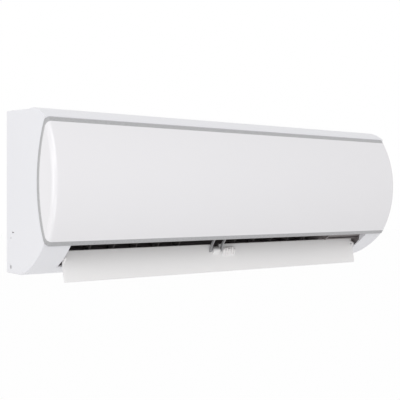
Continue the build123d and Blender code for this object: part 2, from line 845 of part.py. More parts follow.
def vane(x):
    """Upright blade across the duct, with its pivot in the floor and its link pin."""
    upstream = vane_place + link_reach + 5
    notch_low = link_height - 2
    notch_high = link_height + link_thickness + 2.5
    inner = vane_place + 6
    outline = polygon(
        in_duct(vane_place - 9, vane_lift), in_duct(upstream - 4, vane_lift),
        in_duct(upstream, notch_low), in_duct(inner, notch_low), in_duct(inner, notch_high),
        in_duct(upstream - 1, notch_high), in_duct(vane_place + 10, 30), in_duct(vane_place + 2, 45),
        in_duct(vane_place, 57), in_duct(vane_place - 24, 57), in_duct(vane_place - 21, 48),
        in_duct(vane_place - 9, 30),
    )
    blade = span(outline, x - vane_thickness / 2, x + vane_thickness / 2)
    pin = turned_rod(x, in_duct(vane_place, vane_lift + 6), floor_normal, vane_pin_radius, -vane_lift - 12)
    link = in_duct(vane_place + link_reach, notch_low - 1)
    return blade + pin + turned_rod(x, link, floor_normal, link_pin_radius, notch_high - notch_low + 2)


def vane_link(places):
    """Bar that joins the vanes of one group."""
    first, last = min(places), max(places)
    centre = vane_place + link_reach
    outline = polygon(
        in_duct(centre - link_width / 2, link_height), in_duct(centre + link_width / 2, link_height),
        in_duct(centre + link_width / 2, link_height + link_thickness),
        in_duct(centre - link_width / 2, link_height + link_thickness),
    )
    bar = span(outline, first - 5, last + 5)
    for x in places:
        hole = link_pin_radius + link_clearance
        bar -= turned_rod(x, in_duct(centre, link_height - 1), floor_normal, hole, link_thickness + 2)
    return bar


# ------------------------------------------------------------ fan
def blade_section(angle):
    """One forward-curved blade as a bent strip."""
    root = fan_radius - blade_depth
    bend = fan_radius - 0.45 * blade_depth
    half_thick = blade_thickness / 2
    def at(radius, turn, push):
        point = polar(fan_centre, radius, angle + turn)
        return shifted(point, (-sin(radians(angle + turn)), cos(radians(angle + turn))), push)
    return polygon(
        at(root, 0, -half_thick), at(bend, 5, -half_thick), at(fan_radius - 0.3, 15, -half_thick),
        at(fan_radius - 0.3, 15, half_thick), at(bend, 5, half_thick), at(root, 0, half_thick),
    )


def fan_wheel():
    """Cross-flow wheel: rings of blades between discs, with a hub at the right."""
    wheel = [span(blade_section(360 / fan_blades * i), fan_left, fan_right) for i in range(fan_blades)]
    ring = disc(fan_centre, fan_radius) - disc(fan_centre, fan_radius - blade_depth - 1.5)
    spacing = (fan_right - fan_left - disc_thickness) / fan_sections
    for i in range(1, fan_sections):
        wheel.append(span(ring, fan_left + i * spacing, fan_left + i * spacing + disc_thickness))
    for x in (fan_left, fan_right - disc_thickness):
        wheel.append(span(disc(fan_centre, fan_radius), x, x + disc_thickness))
    wheel.append(rod(fan_centre, 11, fan_right, fan_right + 8))
    wheel.append(rod(fan_centre, 9, fan_left, fan_left + 14))
    body = Part() + wheel
    body -= rod(fan_centre, motor_shaft_radius, fan_right - 14, fan_right + 9)
    return body - rod(fan_centre, fan_shaft_radius, fan_left - 1, fan_left + 12)


def fan_stub_shaft():
    return rod(fan_centre, fan_shaft_radius, duct_left - end_wall - 2, fan_left + 12)


def fan_bearing():
    """Rubber bush that takes the stub shaft."""
    ring = disc(fan_centre, 12) - disc(fan_centre, fan_shaft_radius + running)
    return span(ring, duct_left - end_wall, duct_left)


def bearing_seat():
    """Plastic ring that holds the bush in the chassis' left wall."""
    ring = disc(fan_centre, bearing_seat_radius) - disc(fan_centre, 12)
    lip = disc(fan_centre, bearing_seat_radius + 3) - disc(fan_centre, 12)
    outer = duct_left - end_wall
    return span(ring, outer, duct_left) + span(lip, outer - 2, outer)


def motor_shaft():
    return rod(fan_centre, motor_shaft_radius, fan_right - 14, motor_left + motor_length - 6)


def fan_motor():
    body = rod(fan_centre, motor_radius, motor_left, motor_left + motor_length)
    body = chamfer(body.edges().filter_by(GeomType.CIRCLE), 3)
    body += rod(fan_centre, 12, motor_left - 5, motor_left)
    body += rod(fan_centre, 14, motor_left + motor_length, motor_left + motor_length + 4)
    return body - rod(fan_centre, motor_shaft_radius + running, motor_left - 6, motor_left + motor_length - 5)


def motor_rings():
    """Rubber rings between the motor and what holds it."""
    ring = disc(fan_centre, motor_radius + 3) - disc(fan_centre, motor_radius)
    starts = (motor_left + 5, motor_left + motor_length - 5 - ring_width)
    return Part() + [span(ring, x, x + ring_width) for x in starts]


def motor_clamp():
    """Half ring over the motor."""
    inner = motor_radius + 3
    ring = disc(fan_centre, inner + 3) - disc(fan_centre, inner)
    y, z = fan_centre
    upper = polygon((y - 56, z), (y + 64, z), (y + 64, z + 70), (y - 56, z + 70))
    lugs = polygon(
        (fan_centre[0] - inner - 4, fan_centre[1]), (fan_centre[0] - inner, fan_centre[1]),
        (fan_centre[0] - inner, fan_centre[1] + 6), (fan_centre[0] - inner - 4, fan_centre[1] + 6),
    )
    return span((ring & upper) + lugs, motor_left + 2, motor_left + motor_length - 2)


# ------------------------------------------------------------ coil
def slab(start, end, width):
    """Side-view strip of a width about a line."""
    size = hypot(end[0] - start[0], end[1] - start[1])
    along = ((end[0] - start[0]) / size, (end[1] - start[1]) / size)
    across = (-along[1], along[0])
    return polygon(
        shifted(start, across, width / 2), shifted(end, across, width / 2),
        shifted(end, across, -width / 2), shifted(start, across, -width / 2),
    )


lower_line = ((coil_front_y + coil_thickness / 2, coil_foot), (coil_front_y + coil_thickness / 2, coil_waist))
upper_line = (
    (coil_front_y + coil_thickness / 2 + 4, coil_waist + 9),
    (coil_crown[0] - 13, coil_crown[1] - 5),
)
rear_line = ((coil_crown[0] + 8, coil_crown[1] - 5), coil_tail)


def tube_places(line):
    """Tube centres along a pack's middle line."""
    start, end = line
    size = hypot(end[0] - start[0], end[1] - start[1])
    pitch = size / tubes_per_pack
    along = ((end[0] - start[0]) / size, (end[1] - start[1]) / size)
    return [shifted(start, along, pitch * (i + 0.5)) for i in range(tubes_per_pack)]


def fin_pack(line):
    """Fins of one leg of the coil, as the block that they fill."""
    face = slab(*line, coil_thickness)
    for place in tube_places(line):
        face -= disc(place, tube_radius)
    return span(face, coil_left, coil_right)


def coil_plate(start, end):
    """Folded end plate that ties the three packs together."""
    bridge = polygon(
        (coil_front_y, coil_waist - 4), (coil_front_y + coil_thickness, coil_waist - 4),
        (coil_front_y + coil_thickness + 8, coil_waist + 18), (coil_front_y + 4, coil_waist + 18),
    )
    ridge = coil_crown[1] - 12
    gusset = polygon(
        (coil_crown[0] - 16, ridge), (coil_crown[0] + 12, ridge),
        (coil_crown[0] + 6, ridge - 22), (coil_crown[0] - 10, ridge - 22),
    )
    tab = -back_plate_y - back_plate
    foot_y, foot_z = coil_tail[0] - 8, coil_tail[1] + 4
    foot = polygon((foot_y, foot_z + 14), (foot_y, foot_z), (tab, foot_z), (tab, foot_z + 14))
    plate = Part()
    for line in (lower_line, upper_line, rear_line):
        plate += span(slab(*line, coil_thickness), start, end)
    for face in (bridge, gusset, foot):
        plate += span(face, start, end)
    for line in (lower_line, upper_line, rear_line):
        for place in tube_places(line):
            plate -= rod(place, tube_radius, start - 1, end + 1)
    return plate


def coil_tube():
    """One tube through all the packs, with a return bend between each two passes."""
    places = tube_places(lower_line) + tube_places(upper_line) + tube_places(rear_line)
    right = coil_right + coil_plate_thickness + tube_overhang
    left = coil_left - coil_plate_thickness - tube_overhang
    passes = []
    for i, place in enumerate(places):
        passes.append(rod(place, tube_radius, left, right))
    for i in range(len(places) - 1):
        a, b = places[i], places[i + 1]
        gap = hypot(b[0] - a[0], b[1] - a[1]) / 2
        x, outwards = (left, -1) if i % 2 == 0 else (right, 1)
        centre = ((a[0] + b[0]) / 2, (a[1] + b[1]) / 2)
        across = Vector(0, b[0] - a[0], b[1] - a[1]).normalized()
        bend_plane = Plane(
            origin=(x, *centre), x_dir=across, z_dir=across.cross(Vector(outwards, 0, 0))
        )
        arc = bend_plane * CenterArc((0, 0), gap, 0, 180)
        start = Plane(origin=arc @ 0, z_dir=arc % 0)
        passes.append(sweep(start * Circle(tube_radius), path=arc))
    return Part() + passes


# ------------------------------------------------------------ filters
def filter_face(inset_from, inset_to, reach):
    outer = filter_radius() - inset_from
    ring = disc(front_centre, outer) - disc(front_centre, filter_radius() - inset_to)
    start, end = edge - 45, edge + 70
    foot, head = middle - reach, middle + reach
    return ring & polygon((start, foot), (end, foot), (end, head), (start, head))


def filter_frame(start, end):
    """Curved frame with its crossed ribs and a pull tab at the foot."""
    frame = span(filter_face(0, filter_thickness, filter_reach), start, end)
    columns, rows = 4, 3
    border, rib = 7, 3
    pitch = (end - start - 2 * border + rib) / columns
    row_pitch = (2 * filter_reach - 2 * border + rib) / rows
    for column in range(columns):
        for row in range(rows):
            x = start + border + column * pitch
            z = middle - filter_reach + border + row * row_pitch
            frame -= block((x, x + pitch - rib), (edge - 45, edge + 50), (z, z + row_pitch - rib))
    return frame


def filter_net(start, end):
    """Fine net behind the frame's ribs."""
    face = filter_face(filter_thickness, filter_thickness + 0.25, filter_reach - 3)
    return span(face, start + 3, end - 3)


# ------------------------------------------------------------ control box
def control_box():
    box = block((box_left, box_right), (box_front, box_back), (box_bottom, box_top))
    box -= block(
        (box_left + box_wall, box_right - box_wall), (box_front - 1, box_back - box_wall),
        (box_bottom + box_wall, box_top - box_wall),
    )
    foot = -back_plate_y - back_plate
    for z in (box_bottom + 20, box_top - 20):
        box += block((box_left + 20, box_left + 30), (box_back, foot), (z - 5, z + 5))
    return box


def control_box_cover():
    cover = block((box_left, box_right), (box_front - 2, box_front), (box_bottom, box_top))
    rim = block(
        (box_left + box_wall + fit, box_right - box_wall - fit), (box_front, box_front + 6),
        (box_bottom + box_wall + fit, box_top - box_wall - fit),
    )
    rim -= block(
        (box_left + 2 * box_wall + fit, box_right - 2 * box_wall - fit), (box_front - 1, box_front + 7),
        (box_bottom + 2 * box_wall + fit, box_top - 2 * box_wall - fit),
    )
    return cover + rim


def control_board():
    """Board on four posts with its relay, capacitors, fuse and choke."""
    y = box_back - box_wall
    board_y = (y - 9.6, y - 8)
    board = block((box_left + 6, box_right - 6), board_y, (box_bottom + 34, box_top - 6))
    for x in (box_left + 12, box_right - 12):
        for z in (box_bottom + 42, box_top - 14):
            board += along_y(x, z, 2.5, y, y - 8)
    front = board_y[0]
    centre = (box_bottom + box_top) / 2
    board += block((box_left + 12, box_left + 30), (front - 16, front), (centre + 15, centre + 31))
    board += block((box_left + 36, box_left + 62), (front - 24, front), (centre - 15, centre + 19))
    capacitors = (
        (box_left + 18, centre - 15, 8, 26),
        (box_left + 20, centre + 47, 5, 16),
        (box_left + 52, centre + 45, 6, 20),
    )
    for x, z, radius, tall in capacitors:
        board += along_y(x, z, radius, front, front - tall)
    return board


def terminal_block():
    """Six-way block low in the box, with its screws' wells."""
    x = (box_left + 10, box_right - 10)
    z = box_bottom + box_wall
    body = block(x, (box_front + 14, box_front + 34), (z, z + 18))
    ways = 5
    pitch = (x[1] - x[0] - 4) / ways
    for i in range(ways):
        start = x[0] + 3 + i * pitch
        body -= block((start, start + pitch - 2), (box_front + 10, box_front + 26), (z + 8, z + 20))
    return body


def terminal_opening(margin):
    return block(
        (terminal_span[0] - margin, terminal_span[1] + margin), (edge - 9.5, edge + 36.3),
        (terminal_reach[0] - margin, terminal_reach[1] + margin),
    )


def terminal_cover():
    """Screwed cover in the hollow front, over the terminals."""
    outer = back_radius + seam
    ring = disc(back_centre, outer + wall) - disc(back_centre, outer)
    z = (terminal_reach[0] + fit, terminal_reach[1] - fit)
    limit = polygon((edge - 20, z[0]), (edge + 50, z[0]), (edge + 50, z[1]), (edge - 20, z[1]))
    return span(ring & limit, terminal_span[0] + fit, terminal_span[1] - fit)


# ------------------------------------------------------------ button and display
def hollow_y(z):
    """Front face of the casing's hollow at a height."""
    return back_centre[0] + sqrt((back_radius + seam) ** 2 - (z - middle) ** 2)


def along_y(x, z, radius, start, end):
    """Round bar along Y."""
    return Pos(x, min(start, end), z) * Rot(X=-90) * Cylinder(
        radius, abs(end - start), align=(Align.CENTER, Align.CENTER, Align.MIN)
    )


def button_hole(radius):
    return along_y(button_x, button_z, radius, hollow_y(button_z) - 12, hollow_y(button_z) + 12)


def manual_button():
    face = hollow_y(button_z)
    stem = along_y(button_x, button_z, manual_button_radius, face - 4, face + 8)
    return stem + along_y(button_x, button_z, manual_button_radius + 1.2, face + 5.2, face + 6.8)


def button_switch():
    """Switch behind the button, on a small bracket."""
    face = hollow_y(button_z)
    spring_room = face + 8 + button_travel + 0.6
    body = block((button_x - 7, button_x + 7), (spring_room, spring_room + 8), (button_z - 7, button_z + 7))
    for x in (button_x - 9, button_x + 7):
        body += block((x, x + 2), (face, spring_room + 8), (button_z - 7, button_z + 7))
    return body - rod(back_centre, back_radius + seam + wall, button_x - 20, button_x + 20)


def display_board():
    """Receiver and lamps on a small board in front of the hollow."""
    left, right = display_span
    foot, head = display_reach
    back = hollow_y((foot + head) / 2) - 8
    face = back - board_thickness
    board = block(display_span, (face, back), display_reach)
    room = rod(back_centre, back_radius + seam, left, right)
    for x in (left + 2 * board_post, right - 2 * board_post):
        for z in (foot + 2 * board_post, head - 2 * board_post):
            board += along_y(x, z, board_post, back, hollow_y(z) + 2) & room
    centre = (left + right) / 2
    board += block((centre - 6, centre + 4), (face - 6.4, face), (foot + 6, foot + 16))
    for i in range(4):
        board += along_y(centre - 10 + 7 * i, foot + 28, 1.6, face - 3.4, face)
    return board


def coil_sensor():
    """Thermistor clipped on the coil's face."""
    clip = block((sensor_x, sensor_x + 6), (coil_front_y - 5, coil_front_y), (sensor_z - 5, sensor_z + 5))
    return clip + span(disc((coil_front_y - 3, sensor_z), 2.2), sensor_x - 14, sensor_x + 14)


# ------------------------------------------------------------ wall plate and pipes
def wall_plate():
    """Pressed steel plate with windows, flanges and three hooks."""
    plate = block((-plate_half, plate_half), (-plate_thickness, 0), (plate_bottom, plate_top))
    wide, tall = plate_window_width / 2, plate_window_height / 2
    for x in plate_windows:
        plate -= block((x - wide, x + wide), (-plate_thickness - 1, 1), (-tall, tall))
    for z in (plate_bottom, plate_top - plate_thickness):
        plate += block((-plate_half, plate_half), (-plate_flange, 0), (z, z + plate_thickness))
    tip = -back_plate_y - back_plate - 3
    hook_top = hook_height + plate_thickness
    for x in hook_places:
        sides = (x - hook_width / 2, x + hook_width / 2)
        plate += block(sides, (-plate_thickness, 0), (plate_top - 2, hook_top))
        plate += block(sides, (tip, 0), (hook_height, hook_top))
        plate += block(sides, (tip, tip + plate_thickness), (hook_height, hook_height + 9))
    for x in (-hole_spacing_x / 2, hole_spacing_x / 2):
        for z in (-hole_spacing_z / 2, hole_spacing_z / 2):
            plate -= along_y(x, z, wall_hole_radius, -plate_thickness - 1, 1)
    return plate


def pipe(radius, path):
    start = Plane(origin=path @ 0, z_dir=path % 0)
    return sweep(start * Circle(radius), path=path)


def gas_pipe():
    """From the rear pack's lowest tube, down behind the motor and into the channel."""
    y, z = tube_places(rear_line)[-1]
    path = FilletPolyline(
        (coil_right + coil_plate_thickness + tube_overhang, y, z), (gas_x, y, z),
        (gas_x, channel_y, gas_z), (pipe_end + gas_thread_length + 9, channel_y, gas_z),
        radius=pipe_bend,
    )
    return pipe(gas_radius, path) + union_body(channel_y, gas_z, gas_thread_radius, gas_thread_length)


def liquid_pipe():
    """From the front pack's lowest tube, under the motor and into the channel."""
    y, z = tube_places(lower_line)[0]
    start = coil_right + coil_plate_thickness + tube_overhang
    path = FilletPolyline(
        (start, y, z), (start + 3, y, z), (start + 13, liquid_front_y, z), (liquid_x, liquid_front_y, z),
        (liquid_x, liquid_front_y, liquid_low_z), (liquid_x, channel_y, liquid_low_z),
        (liquid_x, channel_y, liquid_z), (pipe_end + liquid_thread_length + 9, channel_y, liquid_z),
        radius=[3, 3, 12, 12, 12, 12],
    )
    union = union_body(channel_y, liquid_z, liquid_thread_radius, liquid_thread_length)
    return pipe(liquid_radius, path) + union


def union_body(y, z, radius, thread):
    """Hexagon and threaded end of a flare union."""
    hexagon = Plane.YZ * (Pos(y, z) * RegularPolygon(radius + 1.6, 6))
    body = span(hexagon, pipe_end + thread, pipe_end + thread + 10)
    return body + rod((y, z), radius, pipe_end, pipe_end + thread)


# ------------------------------------------------------------ fasteners
def side_screw_hole(direction):
    x = direction * half
    marks = rod(side_screw_place, 4, x - 1.2, x + 1.2)
    marks += rod(side_screw_place, side_screw_radius, x - 4, x + 4)
    marks += rod(side_dimple, 1.6, x - 0.8, x + 0.8)
    y, z = side_slot
    return marks + block((x - 0.8, x + 0.8), (y - 1, y + 1), (z - 3, z + 3))


def side_screws():
    """Screw low on each end face."""
    screws = []
    for direction in (-1, 1):
        head = direction * (half - 1.2)
        tip = direction * (half - 14)
        shank = rod(side_screw_place, side_screw_radius, min(head, tip), max(head, tip))
        crown = direction * (half - 0.2)
        screws.append(shank + rod(side_screw_place, 3.6, min(head, crown), max(head, crown)))
    return screws


# ------------------------------------------------------------ assembly
def build():
    whole = cap()
    pieces = {
        "front_casing": front_casing(),
        "top_grille": top_grille(),
        "front_panel": front_panel(whole),
        "panel_trim": panel_trim(whole),
        "louver": louver(),
        "louver_shaft": louver_shaft(),
        "louver_bracket": louver_bracket(),
        "louver_pin": louver_pin(),
        "louver_motor": louver_motor(),
        "chassis": chassis(),
        "drain_pan": drain_pan(),
        "drain_plug": drain_plug(),
        "fan_wheel": fan_wheel(),
        "fan_stub_shaft": fan_stub_shaft(),
        "fan_bearing": fan_bearing(),
        "bearing_seat": bearing_seat(),
        "motor_shaft": motor_shaft(),
        "fan_motor": fan_motor(),
        "motor_rings": motor_rings(),
        "motor_clamp": motor_clamp(),
        "coil_lower": fin_pack(lower_line),
        "coil_upper": fin_pack(upper_line),
        "coil_rear": fin_pack(rear_line),
        "coil_plate_left": coil_plate(coil_left - coil_plate_thickness, coil_left),
        "coil_plate_right": coil_plate(coil_right, coil_right + coil_plate_thickness),
        "coil_tube": coil_tube(),
        "coil_sensor": coil_sensor(),
        "filter_left": filter_frame(*filter_left_span),
        "filter_right": filter_frame(*filter_right_span),
        "filter_net_left": filter_net(*filter_left_span),
        "filter_net_right": filter_net(*filter_right_span),
        "control_box": control_box(),
        "control_box_cover": control_box_cover(),
        "control_board": control_board(),
        "terminal_block": terminal_block(),
        "terminal_cover": terminal_cover(),
        "manual_button": manual_button(),
        "button_switch": button_switch(),
        "display_board": display_board(),
        "wall_plate": wall_plate(),
        "gas_pipe": gas_pipe(),
        "liquid_pipe": liquid_pipe(),
        "side_screws": side_screws(),
        "vane_link_left": vane_link(vane_places()[:vanes_left]),
        "vane_link_right": vane_link(vane_places()[vanes_left:]),
    }
    for number, x in enumerate(vane_places(), start=1):
        pieces[f"vane_{number}"] = vane(x)
    return pieces


def save(name, piece):
    """One file for each piece, holding its solids."""
    if isinstance(piece, list):
        piece = Compound([solid for item in piece for solid in item.solids()])
    export_step(piece, f"parts/{name}.step")


if __name__ == "__main__":
    os.makedirs("parts", exist_ok=True)
    for piece_name, solid in build().items():
        save(piece_name, solid)
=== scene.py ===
"""Finishes, fine detail and stage for a wall-hung indoor unit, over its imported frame.

Metres.  X runs along the unit, the wall is the plane Y = 0, the front faces -Y and Z is up.
"""

import json
import math

import bmesh
import bpy
from bpy.props import FloatProperty, FloatVectorProperty, PointerProperty
from mathutils import Matrix, Vector

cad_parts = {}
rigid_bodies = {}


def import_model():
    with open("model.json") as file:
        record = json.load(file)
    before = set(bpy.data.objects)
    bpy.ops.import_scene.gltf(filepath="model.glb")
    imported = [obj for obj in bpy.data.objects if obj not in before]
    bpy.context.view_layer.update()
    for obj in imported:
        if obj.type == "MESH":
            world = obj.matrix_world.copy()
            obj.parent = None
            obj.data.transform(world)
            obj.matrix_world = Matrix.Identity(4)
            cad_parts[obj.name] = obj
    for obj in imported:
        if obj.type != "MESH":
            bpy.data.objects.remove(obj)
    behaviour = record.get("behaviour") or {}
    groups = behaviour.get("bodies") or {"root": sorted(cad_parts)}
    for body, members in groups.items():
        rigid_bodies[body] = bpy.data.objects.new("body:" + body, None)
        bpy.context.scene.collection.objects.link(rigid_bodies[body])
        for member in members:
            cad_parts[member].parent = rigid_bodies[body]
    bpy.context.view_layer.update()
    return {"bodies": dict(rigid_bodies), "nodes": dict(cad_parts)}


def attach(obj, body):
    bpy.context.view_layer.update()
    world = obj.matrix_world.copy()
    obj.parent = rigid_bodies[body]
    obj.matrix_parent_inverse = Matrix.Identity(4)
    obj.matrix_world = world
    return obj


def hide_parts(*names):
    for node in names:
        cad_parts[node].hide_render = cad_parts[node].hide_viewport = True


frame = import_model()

bl_info = {
    "name": "Mini split indoor unit",
    "version": (1, 0, 0),
    "blender": (4, 5, 0),
    "location": "3D View > Sidebar > Indoor unit",
    "description": "Finishes, fine detail and stage for a wall-hung air conditioner indoor unit",
    "category": "Object",
}

nodes = frame["nodes"]

# Places in the side view (Y, Z) and along the unit (X), in millimetres.

# Coil: the middle line of each pack, their span, and the tubes' places along a fin.
PACKS = {
    "coil_lower": ((-143.0, -46.0), (-143.0, 44.0)),
    "coil_upper": ((-139.0, 53.0), (-110.0, 112.0)),
    "coil_rear": ((-89.0, 112.0), (-38.0, 46.0)),
}
PACK_SPAN = (-339.5, 225.5)
PACK_HALF_DEPTH = 10.0
TUBE_SHARES = (0.125, 0.375, 0.625, 0.875)
TUBE_HOLE_RADIUS = 3.8

# Filter nets: the arc that they follow and the span of each.
NET_CENTRE = (-22.74, 14.75)
NET_RADIUS = 159.64
NET_HALF_TURN = 24.9
NETS = {"filter_net_left": (-369.5, -63.8), "filter_net_right": (-56.2, 247.5)}
NET_CELL = 6.0

# Pipes: centre (Y, Z), radius of the foam, length and radius of the union's thread.
PIPES = (
    (-31.0, -126.0, 8.4, 16.0, 7.94),
    (-31.0, -108.0, 7.0, 14.0, 5.56),
)
PIPE_END = -60.0
UNION_LENGTH = 26.0
THREAD_PITCH = 1.25
FOAM_START = -30.0
FOAM_LENGTH = 268.0
FOAM_WALL = 2.5
SLIT_WIDTH = 0.7
TIE_INSET = 14.0

# Casing ends.
END_FACE = 400.0
SIDE_SCREW = (-20.7, -132.0)

# Control box, its board and the display's lamps.
BOX_FRONT = -126.0
BOARD_FACE = -35.6
PLUG_OFFSETS = ((0, 0, 10), (50, 0, 82), (50, 0, 70), (34, 0, 92))
LAMP_START = 268.0
LAMP_PITCH = 7.0
LAMP_PLACE = (-154.9, -6.0)
FLANGE_FRONT = -153.6

# Fan motor and the louver's clip: place, lean in degrees and height of each gusset.
MOTOR_AXIS = (-84.0, -30.0)
KNUCKLE = (-128.5, -116.0)
CLIP_BASE = -121.5
CLIP_GUSSETS = (
    (-13.5, 14, 13.5), (-7.0, 9, 15.0), (-0.5, 12, 12.5), (6.0, 8, 15.5), (11.5, 16, 12.0),
)

# Colours that more than one finish shares.
COPPER = (0.68, 0.32, 0.18)
BRASS = (0.62, 0.47, 0.2)
COPPER_STAIN = (0.62, 0.5, 0.48)
DUCT = (0.2, 0.178, 0.18)
WHITE = (1.0, 1.0, 1.0, 1.0)

CAMERA_PLACE = (-0.8518, -1.2368, -0.0146)
# Name, place, target, size and the setting that holds the power of each lamp, in metres.
LAMPS = (
    ("key", (-1.7, -2.5, 1.8), (-0.05, -0.1, 0.0), 2.4, "key"),
    ("fill", (-3.2, -0.6, 0.3), (-0.4, -0.1, 0.0), 1.8, "fill"),
    ("low fill", (-1.1, -2.2, -1.3), (-0.05, -0.15, -0.1), 1.6, "low_fill"),
)


# ------------------------------------------------------------ shader maths
class Wire:
    """A number or a socket in a material, with Math nodes behind Python's operators."""

    def __init__(self, finish, socket):
        self.finish = finish
        self.socket = socket

    def _math(self, operation, first, second=None):
        """One Math node on one or two values."""
        values = {0: first}
        if second is not None:
            values[1] = second
        return self.finish.node("ShaderNodeMath", {"operation": operation}, values)

    def __add__(self, other):
        return self._math("ADD", self, other)

    def __radd__(self, other):
        return self._math("ADD", other, self)

    def __sub__(self, other):
        return self._math("SUBTRACT", self, other)

    def __rsub__(self, other):
        return self._math("SUBTRACT", other, self)

    def __mul__(self, other):
        return self._math("MULTIPLY", self, other)

    def __truediv__(self, other):
        return self._math("DIVIDE", self, other)

    def __gt__(self, other):
        return self._math("GREATER_THAN", self, other)

    def __lt__(self, other):
        return self._math("LESS_THAN", self, other)

    def fraction(self):
        """What is left above the whole number."""
        return self._math("FRACT", self)

    def absolute(self):
        """The value without its sign."""
        return self._math("ABSOLUTE", self)

    def between(self, low, high):
        """0 below low, 1 above high, smooth in between."""
        return self.finish.node(
            "ShaderNodeMapRange", {"interpolation_type": "SMOOTHSTEP", "clamp": True},
            {"Value": self, "From Min": low, "From Max": high, "To Min": 0.0, "To Max": 1.0},
        )


class Finish:
    """A material that is put together node by node."""

    def __init__(self, name, colour, roughness, **sockets):
        self.material = bpy.data.materials.new(name)
        self.material.use_nodes = True
        self.tree = self.material.node_tree
        self.tree.nodes.clear()
        self.colour = (*colour, 1.0)
        self.material.diffuse_color = self.colour
        self.output = self.tree.nodes.new("ShaderNodeOutputMaterial")
        self.shader = self.tree.nodes.new("ShaderNodeBsdfPrincipled")
        self.tree.links.new(self.shader.outputs[0], self.output.inputs["Surface"])
        self.set("Base Color", self.colour)
        self.set("Roughness", roughness)
        for socket, value in sockets.items():
            self.set(socket.replace("_", " "), value)
        self._place = None

    def set(self, socket, value):
        """A value or a link on the Principled shader."""
        target = self.shader.inputs[socket]
        if isinstance(value, Wire):
            self.tree.links.new(value.socket, target)
        else:
            target.default_value = value

    def node(self, kind, settings=None, values=None, output=0):
        """Any node: its settings first, then its sockets' values or links."""
        made = self.tree.nodes.new(kind)
        for name, value in (settings or {}).items():
            setattr(made, name, value)
        for name, value in (values or {}).items():
            socket = made.inputs[name]
            if isinstance(value, Wire):
                self.tree.links.new(value.socket, socket)
            else:
                socket.default_value = value
        return Wire(self, made.outputs[output])

    def place(self):
        """Object coordinates, in metres."""
        if self._place is None:
            self._place = self.node("ShaderNodeTexCoord", output="Object")
        return self._place

    def axis(self, letter):
        """One coordinate of the place, in millimetres."""
        return self.node("ShaderNodeSeparateXYZ", None, {0: self.place()}, output=letter) * 1000.0

    def stretched(self, x, y, z):
        """The place with each axis drawn out by its own factor."""
        return self.node(
            "ShaderNodeVectorMath", {"operation": "MULTIPLY"}, {0: self.place(), 1: (x, y, z)}
        )

    def noise(self, scale, detail=3.0, vector=None):
        """Soft noise, finer as the scale grows."""
        return self.node(
            "ShaderNodeTexNoise", None,
            {"Vector": vector or self.place(), "Scale": scale, "Detail": detail, "Roughness": 0.5},
        )

    def cells(self, scale, output="Distance"):
        """Voronoi cells: the distance to each one's middle, or its colour."""
        return self.node(
            "ShaderNodeTexVoronoi", None, {"Vector": self.place(), "Scale": scale}, output=output
        )

    def cell_mask(self, scale):
        """One random tone for each cell."""
        return self.node("ShaderNodeSeparateColor", None, {0: self.cells(scale, "Color")}, output=0)

    def mix(self, factor, first, second):
        """Blend of two colours."""
        return self.node(
            "ShaderNodeMix", {"data_type": "RGBA"}, {0: factor, 6: first, 7: second}, output=2
        )

    def bump(self, height, strength, distance):
        """Relief of the surface, its distance in metres."""
        self.set("Normal", self.node(
            "ShaderNodeBump", None, {"Strength": strength, "Distance": distance, "Height": height}
        ))

    def tint(self, amount, scale=9.0):
        """Slow drift of the base colour over the piece."""
        dark = toned(self.colour, 1 - amount)
        self.set("Base Color", self.mix(self.noise(scale, 2.0), dark, self.colour))


# ------------------------------------------------------------ finishes
def toned(colour, factor, lift=0.0):
    """A colour made lighter or darker, with its alpha."""
    factors = factor if isinstance(factor, tuple) else (factor,) * 3
    return tuple(min(1.0, c * f + lift) for c, f in zip(colour, factors)) + (1.0,)


def moulded(name, colour, roughness, grain=900.0, depth=0.08, drift=0.02):
    """Plastic with the fine spark texture of its mould."""
    finish = Finish(name, colour, roughness)
    finish.tint(drift)
    grainy = finish.noise(grain, 2.0)
    finish.bump(grainy, depth, 0.0002)
    finish.set("Roughness", roughness + (grainy - 0.5) * 0.12)
    return finish.material


def casing_white(name, colour, roughness):
    """Satin white shell: faint grain and a slow change of tone along it."""
    finish = Finish(name, colour, roughness, IOR=1.48)
    grain = finish.noise(1400.0, 2.0)
    finish.tint(0.012, 5.0)
    finish.set("Roughness", roughness + (finish.noise(12.0, 3.0) - 0.5) * 0.06)
    finish.bump(grain, 0.05, 0.0001)
    return finish.material


def panel_gloss(name, colour, roughness):
    """Gloss white panel with the slightest orange peel."""
    finish = Finish(name, colour, roughness, IOR=1.49, Coat_Roughness=0.05)
    finish.set("Coat Weight", 0.35)
    peel = finish.noise(160.0, 1.0)
    finish.tint(0.008, 4.0)
    finish.set("Roughness", roughness + (finish.noise(8.0, 2.0) - 0.5) * 0.03)
    finish.bump(peel, 0.03, 0.0004)
    return finish.material


def silver_paint(name, colour):
    """Silver-grey paint: fine flake under a satin lacquer."""
    finish = Finish(name, colour, 0.42, Coat_Roughness=0.18)
    mask = finish.cell_mask(2600.0)
    finish.set("Base Color", finish.mix(mask, toned(colour, 0.9), toned(colour, 1.12)))
    finish.set("Metallic", 0.6)
    finish.set("Coat Weight", 0.3)
    finish.set("Roughness", 0.26 + mask * 0.12)
    return finish.material


def coated_steel(name, colour, spangle=60.0, metallic=0.85):
    """Zinc-coated sheet with its spangle."""
    finish = Finish(name, colour, 0.4)
    mask = finish.cell_mask(spangle)
    finish.set("Base Color", finish.mix(mask, toned(colour, 0.66), toned(colour, 1.3)))
    finish.set("Metallic", metallic)
    finish.set("Roughness", 0.3 + mask * 0.2)
    finish.bump(finish.noise(220.0, 3.0), 0.06, 0.0002)
    return finish.material


def turned_steel(name, colour):
    """Ground bar with fine rings round it."""
    finish = Finish(name, colour, 0.25)
    rings = finish.noise(900.0, 1.0, vector=finish.stretched(1.0, 0.02, 0.02))
    finish.set("Metallic", 1.0)
    finish.set("Roughness", 0.2 + rings * 0.2)
    finish.bump(rings, 0.08, 0.0001)
    return finish.material


